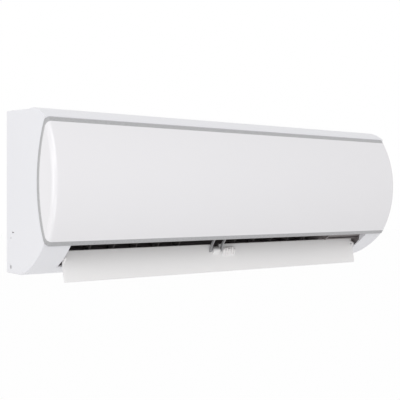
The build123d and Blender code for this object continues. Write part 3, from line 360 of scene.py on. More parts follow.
def bare_copper(name, colour):
    """Copper tube, browned in places and brighter where it was bent."""
    finish = Finish(name, colour, 0.3)
    stain = finish.noise(35.0, 4.0).between(0.45, 0.7)
    finish.set("Base Color", finish.mix(stain, finish.colour, toned(colour, COPPER_STAIN)))
    finish.set("Metallic", 0.95)
    finish.set("Roughness", 0.26 + stain * 0.22)
    finish.bump(finish.noise(300.0, 2.0), 0.05, 0.0002)
    return finish.material


def bright_fin(name, colour):
    """Thin aluminium fin stock."""
    finish = Finish(name, colour, 0.35)
    streak = finish.noise(60.0, 3.0, vector=finish.stretched(0.2, 3.0, 3.0))
    finish.set("Base Color", finish.mix(streak, toned(colour, 0.86), finish.colour))
    finish.set("Metallic", 0.55)
    finish.set("Roughness", 0.35 + streak * 0.2)
    return finish.material


def black_rubber(name, colour):
    """Rubber with a grey bloom in places."""
    finish = Finish(name, colour, 0.75)
    bloom = finish.noise(40.0, 4.0).between(0.5, 0.8)
    finish.set("Base Color", finish.mix(bloom, finish.colour, toned(colour, 1.0, 0.03)))
    finish.bump(finish.noise(700.0, 2.0), 0.12, 0.0002)
    return finish.material


def painted_can(name, colour):
    """Semi-gloss paint on a pressed can."""
    finish = Finish(name, colour, 0.35, Coat_Roughness=0.2)
    finish.tint(0.15, 20.0)
    finish.set("Coat Weight", 0.25)
    finish.bump(finish.noise(260.0, 2.0), 0.08, 0.0003)
    return finish.material


def cast_brass(name, copper, brass, limit):
    """Brass union brazed to a copper tube, told apart by its place along the unit."""
    finish = Finish(name, copper, 0.3)
    stain = finish.noise(35.0, 4.0).between(0.45, 0.7)
    fitting = finish.axis("X") < limit
    scale = finish.noise(260.0, 2.0)
    tube = finish.mix(stain, finish.colour, toned(copper, COPPER_STAIN))
    union = finish.mix(scale, (*brass, 1.0), toned(brass, 0.8))
    finish.set("Base Color", finish.mix(fitting, tube, union))
    finish.set("Metallic", 0.95)
    finish.set("Roughness", 0.26 + stain * 0.22)
    finish.bump(scale, 0.08, 0.0002)
    return finish.material


def closed_foam(name, colour):
    """Closed-cell foam: fine bubbles under a skin."""
    finish = Finish(name, colour, 0.85)
    bubbles = finish.cells(900.0)
    finish.tint(0.12, 30.0)
    finish.set("Roughness", 0.8 + bubbles * 0.15)
    finish.bump(bubbles, 0.35, 0.0004)
    return finish.material


def woven_net(name, colour):
    """Strands with the over and under of the weave as relief, and a painted highlight that makes
    the crossings on top lighter.
    """
    finish = Finish(name, colour, 0.6)
    across = (finish.axis("X") / NET_CELL).fraction() > 0.5
    up = (finish.axis("Z") / NET_CELL).fraction() > 0.5
    highlit_raised_crossings = (across - up).absolute()
    # Painted highlight: strands are made lighter where they pass over.
    finish.set("Base Color", finish.mix(highlit_raised_crossings, finish.colour, toned(colour, 1.0, 0.04)))
    finish.bump(highlit_raised_crossings, 0.3, 0.0002)
    return finish.material


def clear_lens(name, colour):
    """Tinted lamp lens, frosted a little inside."""
    finish = Finish(name, colour, 0.15, IOR=1.49)
    frost = finish.noise(700.0, 2.0)
    finish.tint(0.2, 300.0)
    finish.set("Coat Weight", 0.5)
    finish.bump(frost, 0.05, 0.0001)
    return finish.material


def circuit_green(name, colour):
    """Solder mask with a hint of the tracks under it."""
    finish = Finish(name, colour, 0.3, Coat_Roughness=0.1)
    across = (finish.axis("X") / 3.0).fraction() > 0.72
    along = (finish.axis("Z") / 4.0).fraction() > 0.78
    patch = finish.noise(60.0, 0.0) > 0.5
    track = across * patch + along * (1.0 - patch)
    finish.set("Base Color", finish.mix(track, finish.colour, toned(colour, 1.7)))
    finish.set("Coat Weight", 0.4)
    finish.bump(track, 0.1, 0.0001)
    return finish.material


# ------------------------------------------------------------ modelling helpers
def deselect():
    """Object mode with nothing selected."""
    if bpy.context.object and bpy.context.object.mode != "OBJECT":
        bpy.ops.object.mode_set(mode="OBJECT")
    bpy.ops.object.select_all(action="DESELECT")


def pick(piece):
    """Make one piece the only selected and active one."""
    deselect()
    piece.select_set(True)
    bpy.context.view_layer.objects.active = piece


def name_new(name):
    """Name the object that an operator has just made, and its mesh."""
    piece = bpy.context.object
    piece.name = name
    piece.data.name = name
    return piece


def add_box(name, low, high):
    """Cube primitive drawn out between two corners, in millimetres."""
    deselect()
    centre = [(a + b) / 2000 for a, b in zip(low, high)]
    size = [(b - a) / 1000 for a, b in zip(low, high)]
    bpy.ops.mesh.primitive_cube_add(size=1.0, location=centre)
    piece = name_new(name)
    piece.scale = size
    settle(piece)
    return piece


def add_rod(name, start, direction, radius, length, sides=24):
    """Cylinder primitive from a point along a direction, in millimetres."""
    deselect()
    along = Vector(direction).normalized()
    centre = (Vector(start) + along * (length / 2)) / 1000
    bpy.ops.mesh.primitive_cylinder_add(
        vertices=sides, radius=radius / 1000, depth=length / 1000,
        location=centre, rotation=along.to_track_quat("Z", "Y").to_euler(),
    )
    piece = name_new(name)
    settle(piece)
    return piece


def settle(piece):
    """Put the piece's place, turn and size into its mesh."""
    pick(piece)
    bpy.ops.object.transform_apply(location=True, rotation=True, scale=True)


def choose(piece, test, kind="faces"):
    """Edit mode with only the faces or vertices that pass a test selected."""
    pick(piece)
    bpy.ops.object.mode_set(mode="EDIT")
    mesh = bmesh.from_edit_mesh(piece.data)
    bpy.ops.mesh.select_mode(type={"faces": "FACE", "verts": "VERT"}[kind])
    for part in (mesh.faces, mesh.edges, mesh.verts):
        for element in part:
            element.select = False
    for element in getattr(mesh, kind):
        if test(element):
            element.select_set(True)
    mesh.select_flush_mode()
    bmesh.update_edit_mesh(piece.data)


def leave_edit():
    """Back to object mode."""
    bpy.ops.object.mode_set(mode="OBJECT")


def modify(piece, kind, **settings):
    """Add a modifier and apply it."""
    pick(piece)
    modifier = piece.modifiers.new(kind.title(), kind)
    for name, value in settings.items():
        setattr(modifier, name, value)
    bpy.ops.object.modifier_apply(modifier=modifier.name)


def join(name, pieces):
    """Several pieces as one mesh."""
    deselect()
    for piece in pieces:
        piece.select_set(True)
    bpy.context.view_layer.objects.active = pieces[0]
    if len(pieces) > 1:
        bpy.ops.object.join()
    return name_new(name)


def copied(piece, offset):
    """A copy with its own mesh, moved by millimetres."""
    pick(piece)
    bpy.ops.object.duplicate(linked=False)
    copy = bpy.context.object
    copy.location = Vector(offset) / 1000
    settle(copy)
    return copy


def repeated(piece, offsets):
    """The piece and its copies at some offsets, in millimetres."""
    return [piece] + [copied(piece, offset) for offset in offsets]


def row(piece, count, pitch):
    """Repeat a piece along a direction, in millimetres, within its own mesh."""
    modify(
        piece, "ARRAY", count=count, use_relative_offset=False,
        use_constant_offset=True, constant_offset_displace=[value / 1000 for value in pitch],
    )
    return piece


def rounded(piece, width, segments=2, angle=40.0):
    """Bevel the sharp edges, in millimetres."""
    modify(
        piece, "BEVEL", width=width / 1000, segments=segments, limit_method="ANGLE",
        angle_limit=math.radians(angle),
    )
    return piece


def cut(piece, tools):
    """Take one or more pieces out of another."""
    for tool in tools:
        modify(piece, "BOOLEAN", operation="DIFFERENCE", object=tool, solver="EXACT")
        bpy.data.objects.remove(tool)
    if not piece.data.polygons:
        raise RuntimeError(f"cutting {piece.name} left nothing")
    return piece


def pocket(piece, test, wall, push):
    """Sink a pocket into the faces that pass a test, inside a wall, in millimetres."""
    choose(piece, test)
    bpy.ops.mesh.inset(thickness=wall / 1000)
    bpy.ops.mesh.extrude_region_move(
        TRANSFORM_OT_translate={"value": [value / 1000 for value in push]}
    )
    leave_edit()


def turned_about_x(piece, angle, centre):
    """Turn a piece about an axis along X through a point of the side view, in millimetres."""
    place = Vector((0.0, centre[0] / 1000, centre[1] / 1000))
    turn = Matrix.Rotation(math.radians(angle), 4, "X")
    piece.matrix_world = Matrix.Translation(place) @ turn @ Matrix.Translation(-place)
    settle(piece)
    return piece


def cross_screw(name, place, direction, radius, height):
    """Pan head with a cross recess, standing on a face."""
    along = Vector(direction).normalized()
    head = add_rod(name, place, along, radius, height, 20)
    rounded(head, height * 0.45, 3)
    top = Vector(place) + along * height
    side = along.orthogonal().normalized()
    bars = []
    for across in (side, along.cross(side)):
        start = top - across * radius * 0.6
        bars.append(add_rod("bar", start, across, radius * 0.17, radius * 1.2, 4))
    return cut(head, bars)


def finish_piece(piece, material, body, smooth=None):
    """Material, shading, body and slot of a new piece."""
    pick(piece)
    if smooth is not None:
        bpy.ops.object.shade_smooth_by_angle(angle=math.radians(smooth))
    piece.data.materials.clear()
    piece.data.materials.append(material)
    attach(piece, body)
    return piece


def dress(material, *names):
    """Give CAD nodes a finish."""
    for name in names:
        for slot in nodes[name].material_slots:
            slot.material = material


# ------------------------------------------------------------ settings
class CasingSettings(bpy.types.PropertyGroup):
    """Colours of the pieces that show from the front"""
    shell: FloatVectorProperty(
        name="Shell", description="Colour of the white shell", subtype="COLOR",
        size=3, min=0.0, max=1.0, default=(0.80, 0.80, 0.83),
    )
    panel: FloatVectorProperty(
        name="Panel", description="Colour of the gloss front panel", subtype="COLOR",
        size=3, min=0.0, max=1.0, default=(0.80, 0.79, 0.81),
    )
    trim: FloatVectorProperty(
        name="Edge band", description="Colour of the silver band round the panel", subtype="COLOR",
        size=3, min=0.0, max=1.0, default=(0.42, 0.42, 0.43),
    )
    louver: FloatVectorProperty(
        name="Louver", description="Colour of the louver", subtype="COLOR",
        size=3, min=0.0, max=1.0, default=(0.86, 0.85, 0.85),
    )
    gloss: FloatProperty(
        name="Panel roughness", description="Roughness of the panel's surface",
        min=0.02, max=1.0, default=0.16,
    )


class CoilSettings(bpy.types.PropertyGroup):
    """Fins of the three packs"""
    pitch: FloatProperty(
        name="Fin pitch", description="Distance from fin to fin",
        subtype="DISTANCE", unit="LENGTH", min=0.001, max=0.006, default=0.0014,
    )
    thickness: FloatProperty(
        name="Fin thickness", description="Thickness of a fin",
        subtype="DISTANCE", unit="LENGTH", min=0.00005, max=0.001, default=0.00022,
    )


class FilterSettings(bpy.types.PropertyGroup):
    """Nets of the two filters"""
    pitch: FloatProperty(
        name="Net pitch", description="Distance from strand to strand",
        subtype="DISTANCE", unit="LENGTH", min=0.001, max=0.01, default=0.003,
    )
    strand: FloatProperty(
        name="Strand", description="Thickness of a strand",
        subtype="DISTANCE", unit="LENGTH", min=0.0001, max=0.001, default=0.00035,
    )


class StageSettings(bpy.types.PropertyGroup):
    """Camera, lamps and floor"""
    lens: FloatProperty(
        name="Lens", description="Camera lens in millimetres",
        min=20.0, max=200.0, default=64.35,
    )
    yaw: FloatProperty(
        name="Camera turn", description="Turn of the view from straight on",
        subtype="ANGLE", unit="ROTATION", default=math.radians(35.2),
    )
    key: FloatProperty(
        name="Key lamp", description="Power of the large front lamp",
        unit="POWER", min=0.0, default=30.0,
    )
    fill: FloatProperty(
        name="Fill lamp", description="Power of the side lamp",
        unit="POWER", min=0.0, default=15.0,
    )
    low_fill: FloatProperty(
        name="Low lamp", description="Power of the lamp in front of the outlet",
        unit="POWER", min=0.0, default=9.5,
    )
    sky: FloatProperty(
        name="Ambient", description="Strength of the even light",
        min=0.0, max=1.0, default=0.72,
    )
    floor_drop: FloatProperty(
        name="Floor", description="Height of the floor from the unit's middle",
        subtype="DISTANCE", unit="LENGTH", default=-1.6,
    )


# ------------------------------------------------------------ operators
class INDOOR_OT_casing(bpy.types.Operator):
    """Finish the white shell, its grille, covers and button"""
    bl_idname = "indoor.casing"
    bl_label = "Casing"

    def execute(self, context):
        white = context.scene.indoor_casing.shell
        shell = casing_white("shell_white", white, 0.38)
        dress(shell, "front_casing", "top_grille", "terminal_cover")
        dress(moulded("button_white", (0.7, 0.7, 0.7), 0.4), "manual_button")
        self.slot_catches()
        return {"FINISHED"}

    def slot_catches(self):
        """Painted shade: a flat dark grey piece that fills the slot in each end face, and a dark
        grey disc in the dimple below it.
        """
        shade_fills = []
        for side in (-1, 1):
            inner, outer = sorted((side * (END_FACE - 0.85), side * (END_FACE + 0.1)))
            # Painted shade: dark grey fill across the slot's opening, flush with the end face,
            # standing in for the slot's shadow.
            slot_fill = add_box("slot_catches", (inner, -36.0, -72.1), (outer, -27.0, -70.4))
            rounded(slot_fill, 0.1, 2)
            # Painted shade: dark grey disc at the bottom of the dimple, standing in for the shade
            # in the hollow.
            hollow = (side * (END_FACE - 0.8), SIDE_SCREW[0], -81.3)
            dimple = add_rod("dimple", hollow, (side, 0, 0), 1.1, 0.4, 16)
            rounded(dimple, 0.15, 2)
            shade_fills += [slot_fill, dimple]
        # The dark grey of both pieces is painted shade, not the casing's own colour.
        grey = moulded("catch_grey", (0.2, 0.2, 0.21), 0.5)
        finish_piece(join("slot_catches", shade_fills), grey, "body", smooth=40)


class INDOOR_OT_front_panel(bpy.types.Operator):
    """Finish the gloss panel and its silver band"""
    bl_idname = "indoor.front_panel"
    bl_label = "Front panel"

    def execute(self, context):
        settings = context.scene.indoor_casing
        dress(panel_gloss("panel_white", settings.panel, settings.gloss), "front_panel")
        dress(silver_paint("trim_silver", settings.trim), "panel_trim")
        return {"FINISHED"}


class INDOOR_OT_louver(bpy.types.Operator):
    """Finish the louver, its shaft, pin and motor"""
    bl_idname = "indoor.louver"
    bl_label = "Louver"

    def execute(self, context):
        white = context.scene.indoor_casing.louver
        dress(casing_white("louver_white", white, 0.4), "louver")
        dress(turned_steel("shaft_steel", (0.55, 0.56, 0.58)), "louver_shaft", "louver_pin")
        dress(coated_steel("stepper_steel", (0.6, 0.6, 0.61), 30.0), "louver_motor")
        self.clip(bpy.data.materials["louver_white"])
        return {"FINISHED"}

    def clip(self, material):
        """Rounded gussets of the clip that grips the louver beside its knuckle."""
        gussets = []
        for x, lean, tall in CLIP_GUSSETS:
            low, high = (x - 1.6, -131.2, CLIP_BASE), (x + 1.6, -126.6, CLIP_BASE + tall)
            gusset = rounded(add_box("louver_clip", low, high), 1.3, 4)
            gussets.append(turned_about_x(gusset, lean, KNUCKLE))
        finish_piece(join("louver_clip", gussets), material, "louver", 50)


class INDOOR_OT_outlet(bpy.types.Operator):
    """Finish the dark duct, drain pan, bracket and vanes"""
    bl_idname = "indoor.outlet"
    bl_label = "Outlet"

    def execute(self, context):
        dress(moulded("duct_dark", DUCT, 0.5, drift=0.2), "chassis")
        dress(moulded("pan_dark", DUCT, 0.5, drift=0.2), "drain_pan")
        dress(moulded("bracket_grey", (0.36, 0.36, 0.37), 0.5, drift=0.05), "louver_bracket")
        vanes = [name for name in nodes if name.startswith("vane_")]
        dress(moulded("vane_dark", (0.16, 0.145, 0.145), 0.45, drift=0.2), *vanes)
        rubber = black_rubber("rubber_black", (0.02, 0.02, 0.02))
        dress(rubber, "drain_plug", "fan_bearing", "motor_rings")
        return {"FINISHED"}


class INDOOR_OT_fan(bpy.types.Operator):
    """Finish the cross-flow wheel and its motor"""
    bl_idname = "indoor.fan"
    bl_label = "Fan"

    def execute(self, context):
        dress(moulded("fan_plastic", (0.05, 0.05, 0.055), 0.45, drift=0.15), "fan_wheel")
        dress(bpy.data.materials["shaft_steel"], "fan_stub_shaft", "motor_shaft")
        dress(bpy.data.materials["duct_dark"], "bearing_seat", "motor_clamp")
        dress(painted_can("motor_grey", (0.16, 0.17, 0.19)), "fan_motor")
        self.motor_fittings()
        return {"FINISHED"}

    def motor_fittings(self):
        """Crimped seam round the can, and the lead's socket."""
        seam = add_rod("motor_seam", (281.4, *MOTOR_AXIS), (1, 0, 0), 38.5, 3.2, 64)
        bore = add_rod("bore", (280.0, *MOTOR_AXIS), (1, 0, 0), 37.6, 6, 64)
        cut(seam, [bore])
        rounded(seam, 0.35, 2)
        finish_piece(seam, bpy.data.materials["motor_grey"], "body", 40)
        socket = add_box("motor_socket", (302.6, -92, 3.0), (308, -76, 12))
        pocket(socket, lambda face: face.normal.z > 0.9, 1.1, (0, 0, -6))
        rounded(socket, 0.5, 2)
        white = moulded("socket_white", (0.6, 0.6, 0.57), 0.5)
        finish_piece(socket, white, "body", 40)


class INDOOR_OT_coil(bpy.types.Operator):
    """Build the fins of the three packs and finish the tubes and end plates"""
    bl_idname = "indoor.coil"
    bl_label = "Coil"

    def execute(self, context):
        settings = context.scene.indoor_coil
        fin = bright_fin("fin_aluminium", (0.79, 0.8, 0.82))
        for name, line in PACKS.items():
            dress(fin, name)
            stack = self.fins(name, line, settings)
            finish_piece(stack, fin, "body")
            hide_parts(name)
        zinc = coated_steel("zinc_steel", (0.5, 0.51, 0.53))
        dress(zinc, "coil_plate_left", "coil_plate_right")
        dress(bare_copper("copper", COPPER), "coil_tube", "coil_sensor")
        return {"FINISHED"}

    def fins(self, name, line, settings):
        """One fin with its tube holes, repeated along the pack."""
        start, end = line
        length = math.dist(start, end)
        lean = math.degrees(math.atan2(end[1] - start[1], end[0] - start[0])) - 90
        middle = ((start[0] + end[0]) / 2, (start[1] + end[1]) / 2)
        thick = settings.thickness * 1000
        low, high = PACK_SPAN
        fin = add_box(
            name + "_fins", (low, middle[0] - PACK_HALF_DEPTH, middle[1] - length / 2),
            (low + thick, middle[0] + PACK_HALF_DEPTH, middle[1] + length / 2),
        )
        holes = []
        for share in TUBE_SHARES:
            place = (low - 2, middle[0], middle[1] + (share - 0.5) * length)
            holes.append(add_rod("hole", place, (1, 0, 0), TUBE_HOLE_RADIUS, 6, 8))
        cut(fin, holes)
        turned_about_x(fin, lean, middle)
        pitch = settings.pitch * 1000
        return row(fin, int((high - low - thick) / pitch) + 1, (pitch, 0, 0))


class INDOOR_OT_filters(bpy.types.Operator):
    """Finish the filter frames and weave their nets"""
    bl_idname = "indoor.filters"
    bl_label = "Filters"

    def execute(self, context):
        dress(moulded("frame_grey", (0.26, 0.28, 0.32), 0.5), "filter_left", "filter_right")
        settings = context.scene.indoor_filters
        net_grey = woven_net("net_grey", (0.1, 0.1, 0.11))
        for name, (low, high) in NETS.items():
            dress(net_grey, name)
            net = self.net(name, low, high, settings)
            finish_piece(net, net_grey, "body")
            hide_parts(name)
        return {"FINISHED"}

    def net(self, name, low, high, settings):
        """A line of knots spun up the filter's curve, with a strand along each edge."""
        count = int((high - low) / (settings.pitch * 1000))
        deselect()
        bpy.ops.mesh.primitive_grid_add(x_subdivisions=count, y_subdivisions=1, size=1.0)
        net = name_new(name + "_woven")
        net.scale = ((high - low) / 1000, 0.01, 1.0)
        face = (NET_CENTRE[0] - NET_RADIUS) / 1000
        net.location = ((low + high) / 2000, face, NET_CENTRE[1] / 1000)
        settle(net)
        front = min(vertex.co.y for vertex in net.data.vertices)
        choose(net, lambda vertex: vertex.co.y > front + 0.001, "verts")
        bpy.ops.mesh.delete(type="VERT")
        leave_edit()
        for vertex in net.data.vertices:
            vertex.co.y = face
        turned_about_x(net, NET_HALF_TURN, NET_CENTRE)
        turn = math.radians(2 * NET_HALF_TURN)
        steps = int(turn * NET_RADIUS / (settings.pitch * 1000))
        choose(net, lambda vertex: True, "verts")
        bpy.ops.mesh.spin(
            steps=steps, angle=turn, axis=(1.0, 0.0, 0.0),
            center=(0.0, NET_CENTRE[0] / 1000, NET_CENTRE[1] / 1000),
        )
        leave_edit()
        modify(net, "WIREFRAME", thickness=settings.strand, use_even_offset=False)
        return net


class INDOOR_OT_control_box(bpy.types.Operator):
    """Finish the control box, its board, terminals and display"""
    bl_idname = "indoor.control_box"
    bl_label = "Control box"

    def execute(self, context):
        dress(moulded("box_white", (0.6, 0.6, 0.58), 0.5), "control_box")
        dress(bpy.data.materials["zinc_steel"], "control_box_cover")
        green = circuit_green("board_green", (0.01, 0.08, 0.03))
        dress(green, "control_board", "display_board")
        dress(moulded("terminal_cream", (0.62, 0.56, 0.42), 0.45), "terminal_block")
        dress(bpy.data.materials["duct_dark"], "button_switch")
        self.cover_screws()
        self.terminal_screws()
        self.board_parts()
        self.display_lamps()
        return {"FINISHED"}

    def cover_screws(self):
        """Screws at the corners of the steel cover."""
        screw = cross_screw("cover_screws", (320.5, BOX_FRONT - 2, -52), (0, -1, 0), 3.1, 1.9)
        screws = repeated(screw, ((65, 0, 0), (0, 0, 154), (65, 0, 154)))
        steel = turned_steel("screw_steel", (0.5, 0.5, 0.52))
        finish_piece(join("cover_screws", screws), steel, "body", 40)

    def terminal_screws(self):
        """Clamp screws in the wells of the terminal block."""
        screw = cross_screw("terminal_screws", (331.4, BOX_FRONT + 26, -48), (0, -1, 0), 2.6, 2.2)
        screws = repeated(screw, [(step * 10.0, 0, 0) for step in range(1, 5)])
        steel = bpy.data.materials["screw_steel"]
        finish_piece(join("terminal_screws", screws), steel, "body", 40)

    def board_parts(self):
        """Plugs, chips and resistors on the main board."""
        face = BOARD_FACE
        plug = add_box("board_plugs", (322, face - 8, -14), (334, face, -6))
        pocket(plug, lambda side: side.normal.y < -0.9, 0.9, (0, 6, 0))
        plugs = repeated(plug, PLUG_OFFSETS)
        pin = add_box("pin", (324, face - 7, -10.4), (324.8, face + 0.5, -9.6))
        pins = repeated(row(pin, 4, (2.5, 0, 0)), PLUG_OFFSETS)
        plugs = rounded(join("board_plugs", plugs), 0.4, 2)
        finish_piece(plugs, moulded("plug_white", (0.6, 0.59, 0.54), 0.5), "body", 40)
        steel = bpy.data.materials["screw_steel"]
        finish_piece(join("board_pins", pins), steel, "body")
        chip = add_box("board_chips", (336, face - 2.2, 64), (346, face - 0.5, 74))
        rounded(chip, 0.5, 1)
        leg = add_box("leg", (336.8, face - 1.2, 63), (337.2, face, 75))
        row(leg, 9, (1.05, 0, 0))
        chips = join("board_chips", [chip, leg])
        chips = join("board_chips", [chips, copied(chips, (20, 0, -14))])
        finish_piece(chips, moulded("chip_black", (0.02, 0.02, 0.022), 0.4), "body")
        coat = add_rod("board_resistors", (325, face - 1.6, 8), (1, 0, 0), 1.3, 6, 12)
        rounded(coat, 0.5, 2)
        wire = add_rod("wire", (322, face - 1.6, 8), (1, 0, 0), 0.3, 12, 8)
        coat = join("board_resistors", [coat, wire])
        row(coat, 5, (0, 0, 4.2))
        finish_piece(coat, moulded("resistor_tan", (0.42, 0.3, 0.18), 0.45), "body", smooth=40)

    def display_lamps(self):
        """Lenses of the four lamps, domed and standing on a flange."""
        lamps = []
        for step in range(4):
            x = LAMP_START + LAMP_PITCH * step
            lens = add_rod("display_lamps", (x, *LAMP_PLACE), (0, -1, 0), 1.5, 1.6, 16)
            rounded(lens, 0.9, 3)
            flange_place = (x, FLANGE_FRONT, LAMP_PLACE[1])
            flange = add_rod("flange", flange_place, (0, -1, 0), 1.9, 0.6, 16)
            lamps += [lens, flange]
        amber = clear_lens("lamp_amber", (0.55, 0.3, 0.05))
        finish_piece(join("display_lamps", lamps), amber, "body", smooth=40)


class INDOOR_OT_wall_plate(bpy.types.Operator):
    """Finish the wall plate, the pipes and the side screws"""
    bl_idname = "indoor.wall_plate"
    bl_label = "Wall plate and pipes"

    def execute(self, context):
        dress(bpy.data.materials["zinc_steel"], "wall_plate", "side_screws")
        pipe = cast_brass("pipe_copper", COPPER, BRASS, PIPE_END + UNION_LENGTH)
        dress(pipe, "gas_pipe", "liquid_pipe")
        self.threads(pipe)
        self.sleeves()
        self.side_screws()
        return {"FINISHED"}

    def threads(self, material):
        """Rounded rings of the unions' threads."""
        rings = []
        for y, z, _, length, radius in PIPES:
            start = (PIPE_END + 1.2, y, z)
            ring = add_rod("union_threads", start, (1, 0, 0), radius + 0.3, 0.7, 24)
            rounded(ring, 0.28, 1)
            rings.append(row(ring, int((length - 2.5) / THREAD_PITCH), (THREAD_PITCH, 0, 0)))
        finish_piece(join("union_threads", rings), material, "body", 40)

    def sleeves(self):
        """Foam round the two pipes in the channel, slit along its length and tied."""
        foam, ties = [], []
        end = FOAM_START + FOAM_LENGTH
        middle = FOAM_START + FOAM_LENGTH / 2
        for y, z, radius, _, _ in PIPES:
            sleeve = add_rod("pipe_foam", (FOAM_START, y, z), (1, 0, 0), radius, FOAM_LENGTH, 28)
            choose(sleeve, lambda face: abs(face.normal.x) > 0.9)
            bpy.ops.mesh.inset(thickness=FOAM_WALL / 1000)
            bpy.ops.transform.resize(
                value=(0.998, 1.0, 1.0), center_override=(middle / 1000, y / 1000, z / 1000)
            )
            leave_edit()
            low = (FOAM_START - 1, y - SLIT_WIDTH / 2, z - radius - 1)
            high = (end + 1, y + SLIT_WIDTH / 2, z - radius + 1.2)
            cut(sleeve, [add_box("slit", low, high)])
            rounded(sleeve, 0.5, 2, 60.0)
            foam.append(sleeve)
            for place in (FOAM_START + TIE_INSET, middle, end - TIE_INSET):
                tie = add_rod("pipe_ties", (place, y, z), (1, 0, 0), radius + 0.5, 3.6, 28)
                bore = add_rod("bore", (place - 1, y, z), (1, 0, 0), radius - 0.5, 6, 28)
                cut(tie, [bore])
                low = (place - 0.9, y - radius - 3.2, z - 2.4)
                high = (place + 4.5, y - radius + 0.4, z + 2.4)
                ties += [tie, rounded(add_box("head", low, high), 0.7, 2)]
        grey = closed_foam("foam_grey", (0.32, 0.33, 0.34))
        finish_piece(join("pipe_foam", foam), grey, "body", smooth=40)
        white = moulded("tie_white", (0.62, 0.62, 0.6), 0.45)
        finish_piece(join("pipe_ties", ties), white, "body", smooth=40)

    def side_screws(self):
        """Pan heads with a cross recess and threaded shanks, one at each end."""
        screws = []
        for side in (-1, 1):
            out = (side, 0, 0)
            face, shank_start, ring_start = (
                (side * (END_FACE - depth), *SIDE_SCREW) for depth in (1.1, 14.0, 12.8)
            )
            head = cross_screw("side_screws_cut", face, out, 3.6, 1.1)
            shank = add_rod("shank", shank_start, out, 1.55, 13.2, 16)
            ring = add_rod("ring", ring_start, out, 1.9, 0.7, 16)
            rounded(ring, 0.3, 1)
            row(ring, 8, (side * 1.3, 0, 0))
            screws += [head, shank, ring]
        piece = join("side_screws_cut", screws)
        zinc = coated_steel("bright_zinc", (0.6, 0.6, 0.62), 90.0, 0.35)
        finish_piece(piece, zinc, "body", 40)
        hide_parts("side_screws")


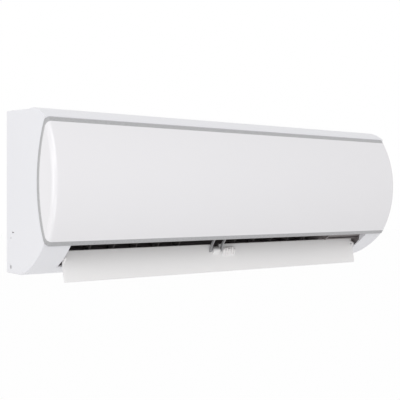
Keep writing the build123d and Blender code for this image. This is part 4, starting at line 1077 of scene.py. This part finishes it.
class INDOOR_OT_stage(bpy.types.Operator):
    """Build the floor, the even light, the lamps and the camera"""
    bl_idname = "indoor.stage"
    bl_label = "Stage"

    def execute(self, context):
        settings = context.scene.indoor_stage
        self.floor(settings)
        self.world(context.scene, settings)
        for name, place, target, size, power in LAMPS:
            self.lamp(name, place, target, size, getattr(settings, power))
        self.camera(context.scene, settings)
        context.scene.view_settings.view_transform = "Standard"
        return {"FINISHED"}

    def floor(self, settings):
        """Pale floor that shows as plain white to the camera and in the gloss."""
        deselect()
        bpy.ops.mesh.primitive_plane_add(size=60.0, location=(0.0, 0.0, settings.floor_drop))
        floor = name_new("floor")
        settle(floor)
        paint = Finish("floor_pale", (0.9, 0.9, 0.9), 0.9)
        seen = paint.node("ShaderNodeLightPath", output="Is Camera Ray")
        mirrored = paint.node("ShaderNodeLightPath", output="Is Glossy Ray")
        through = paint.node("ShaderNodeLightPath", output="Is Transmission Ray")
        glow = paint.node("ShaderNodeEmission", None, {"Color": WHITE, "Strength": 1.0})
        factor = paint.node("ShaderNodeClamp", None, {"Value": seen + mirrored + through})
        surface = Wire(paint, paint.shader.outputs[0])
        blend = paint.node("ShaderNodeMixShader", None, {0: factor * 0.97, 1: surface, 2: glow})
        paint.tree.links.new(blend.socket, paint.output.inputs["Surface"])
        floor.data.materials.append(paint.material)

    def world(self, scene, settings):
        """White to the camera and in the gloss, and a dimmer even light for the rest."""
        world = bpy.data.worlds.new("studio")
        scene.world = world
        world.use_nodes = True
        tree = world.node_tree
        tree.nodes.clear()
        path = tree.nodes.new("ShaderNodeLightPath")
        output = tree.nodes.new("ShaderNodeOutputWorld")
        even = tree.nodes.new("ShaderNodeBackground")
        white = tree.nodes.new("ShaderNodeBackground")
        mixer = tree.nodes.new("ShaderNodeMixShader")
        first = tree.nodes.new("ShaderNodeMath")
        second = tree.nodes.new("ShaderNodeMath")
        for either in (first, second):
            either.operation = "MAXIMUM"
        for light, strength in ((even, settings.sky), (white, 1.0)):
            light.inputs["Color"].default_value = WHITE
            light.inputs["Strength"].default_value = strength
        for source, target in (
            (path.outputs["Is Camera Ray"], first.inputs[0]),
            (path.outputs["Is Glossy Ray"], first.inputs[1]),
            (first.outputs[0], second.inputs[0]),
            (path.outputs["Is Transmission Ray"], second.inputs[1]),
            (second.outputs[0], mixer.inputs[0]),
            (even.outputs[0], mixer.inputs[1]),
            (white.outputs[0], mixer.inputs[2]),
            (mixer.outputs[0], output.inputs["Surface"]),
        ):
            tree.links.new(source, target)

    def lamp(self, name, place, target, size, power):
        """Square area lamp aimed at a point."""
        deselect()
        aim = (Vector(target) - Vector(place)).to_track_quat("-Z", "Y").to_euler()
        bpy.ops.object.light_add(type="AREA", location=place, rotation=aim)
        lamp = bpy.context.object
        lamp.name = name
        lamp.data.shape = "SQUARE"
        lamp.data.size = size
        lamp.data.energy = power

    def camera(self, scene, settings):
        """Level camera in front of the unit's left end."""
        deselect()
        level = (math.radians(90), 0.0, -settings.yaw)
        bpy.ops.object.camera_add(location=CAMERA_PLACE, rotation=level)
        camera = bpy.context.object
        camera.name = "camera"
        camera.data.lens = settings.lens
        camera.data.sensor_width = 36.0
        camera.data.clip_end = 50.0
        scene.camera = camera


class INDOOR_PT_panel(bpy.types.Panel):
    """Sidebar list of the unit's pieces"""
    bl_idname = "INDOOR_PT_panel"
    bl_label = "Indoor unit"
    bl_space_type = "VIEW_3D"
    bl_region_type = "UI"
    bl_category = "Indoor unit"

    def draw(self, context):
        column = self.layout.column()
        for group in (context.scene.indoor_casing, context.scene.indoor_coil,
                      context.scene.indoor_filters, context.scene.indoor_stage):
            for name in group.__annotations__:
                column.prop(group, name)
        for operator in OPERATORS:
            column.operator(operator.bl_idname)


SETTINGS = {
    "indoor_casing": CasingSettings,
    "indoor_coil": CoilSettings,
    "indoor_filters": FilterSettings,
    "indoor_stage": StageSettings,
}
OPERATORS = (
    INDOOR_OT_casing, INDOOR_OT_front_panel, INDOOR_OT_louver, INDOOR_OT_outlet, INDOOR_OT_fan,
    INDOOR_OT_coil, INDOOR_OT_filters, INDOOR_OT_control_box, INDOOR_OT_wall_plate, INDOOR_OT_stage,
)


def register():
    """Add the operators, the settings and the sidebar panel."""
    for cls in (*SETTINGS.values(), *OPERATORS, INDOOR_PT_panel):
        bpy.utils.register_class(cls)
    for name, cls in SETTINGS.items():
        setattr(bpy.types.Scene, name, PointerProperty(type=cls))


def unregister():
    """Take out what register added."""
    for name in SETTINGS:
        delattr(bpy.types.Scene, name)
    for cls in reversed((*SETTINGS.values(), *OPERATORS, INDOOR_PT_panel)):
        bpy.utils.unregister_class(cls)


def clear_start():
    """Remove what a new file holds beside the frame."""
    kept = {*nodes.values(), *frame["bodies"].values()}
    for thing in list(bpy.data.objects):
        if thing not in kept:
            bpy.data.objects.remove(thing)


def main():
    """Dress the frame and build the stage."""
    clear_start()
    register()
    for operator in OPERATORS:
        group, name = operator.bl_idname.split(".")
        getattr(getattr(bpy.ops, group), name)()


if __name__ == "__main__":
    main()
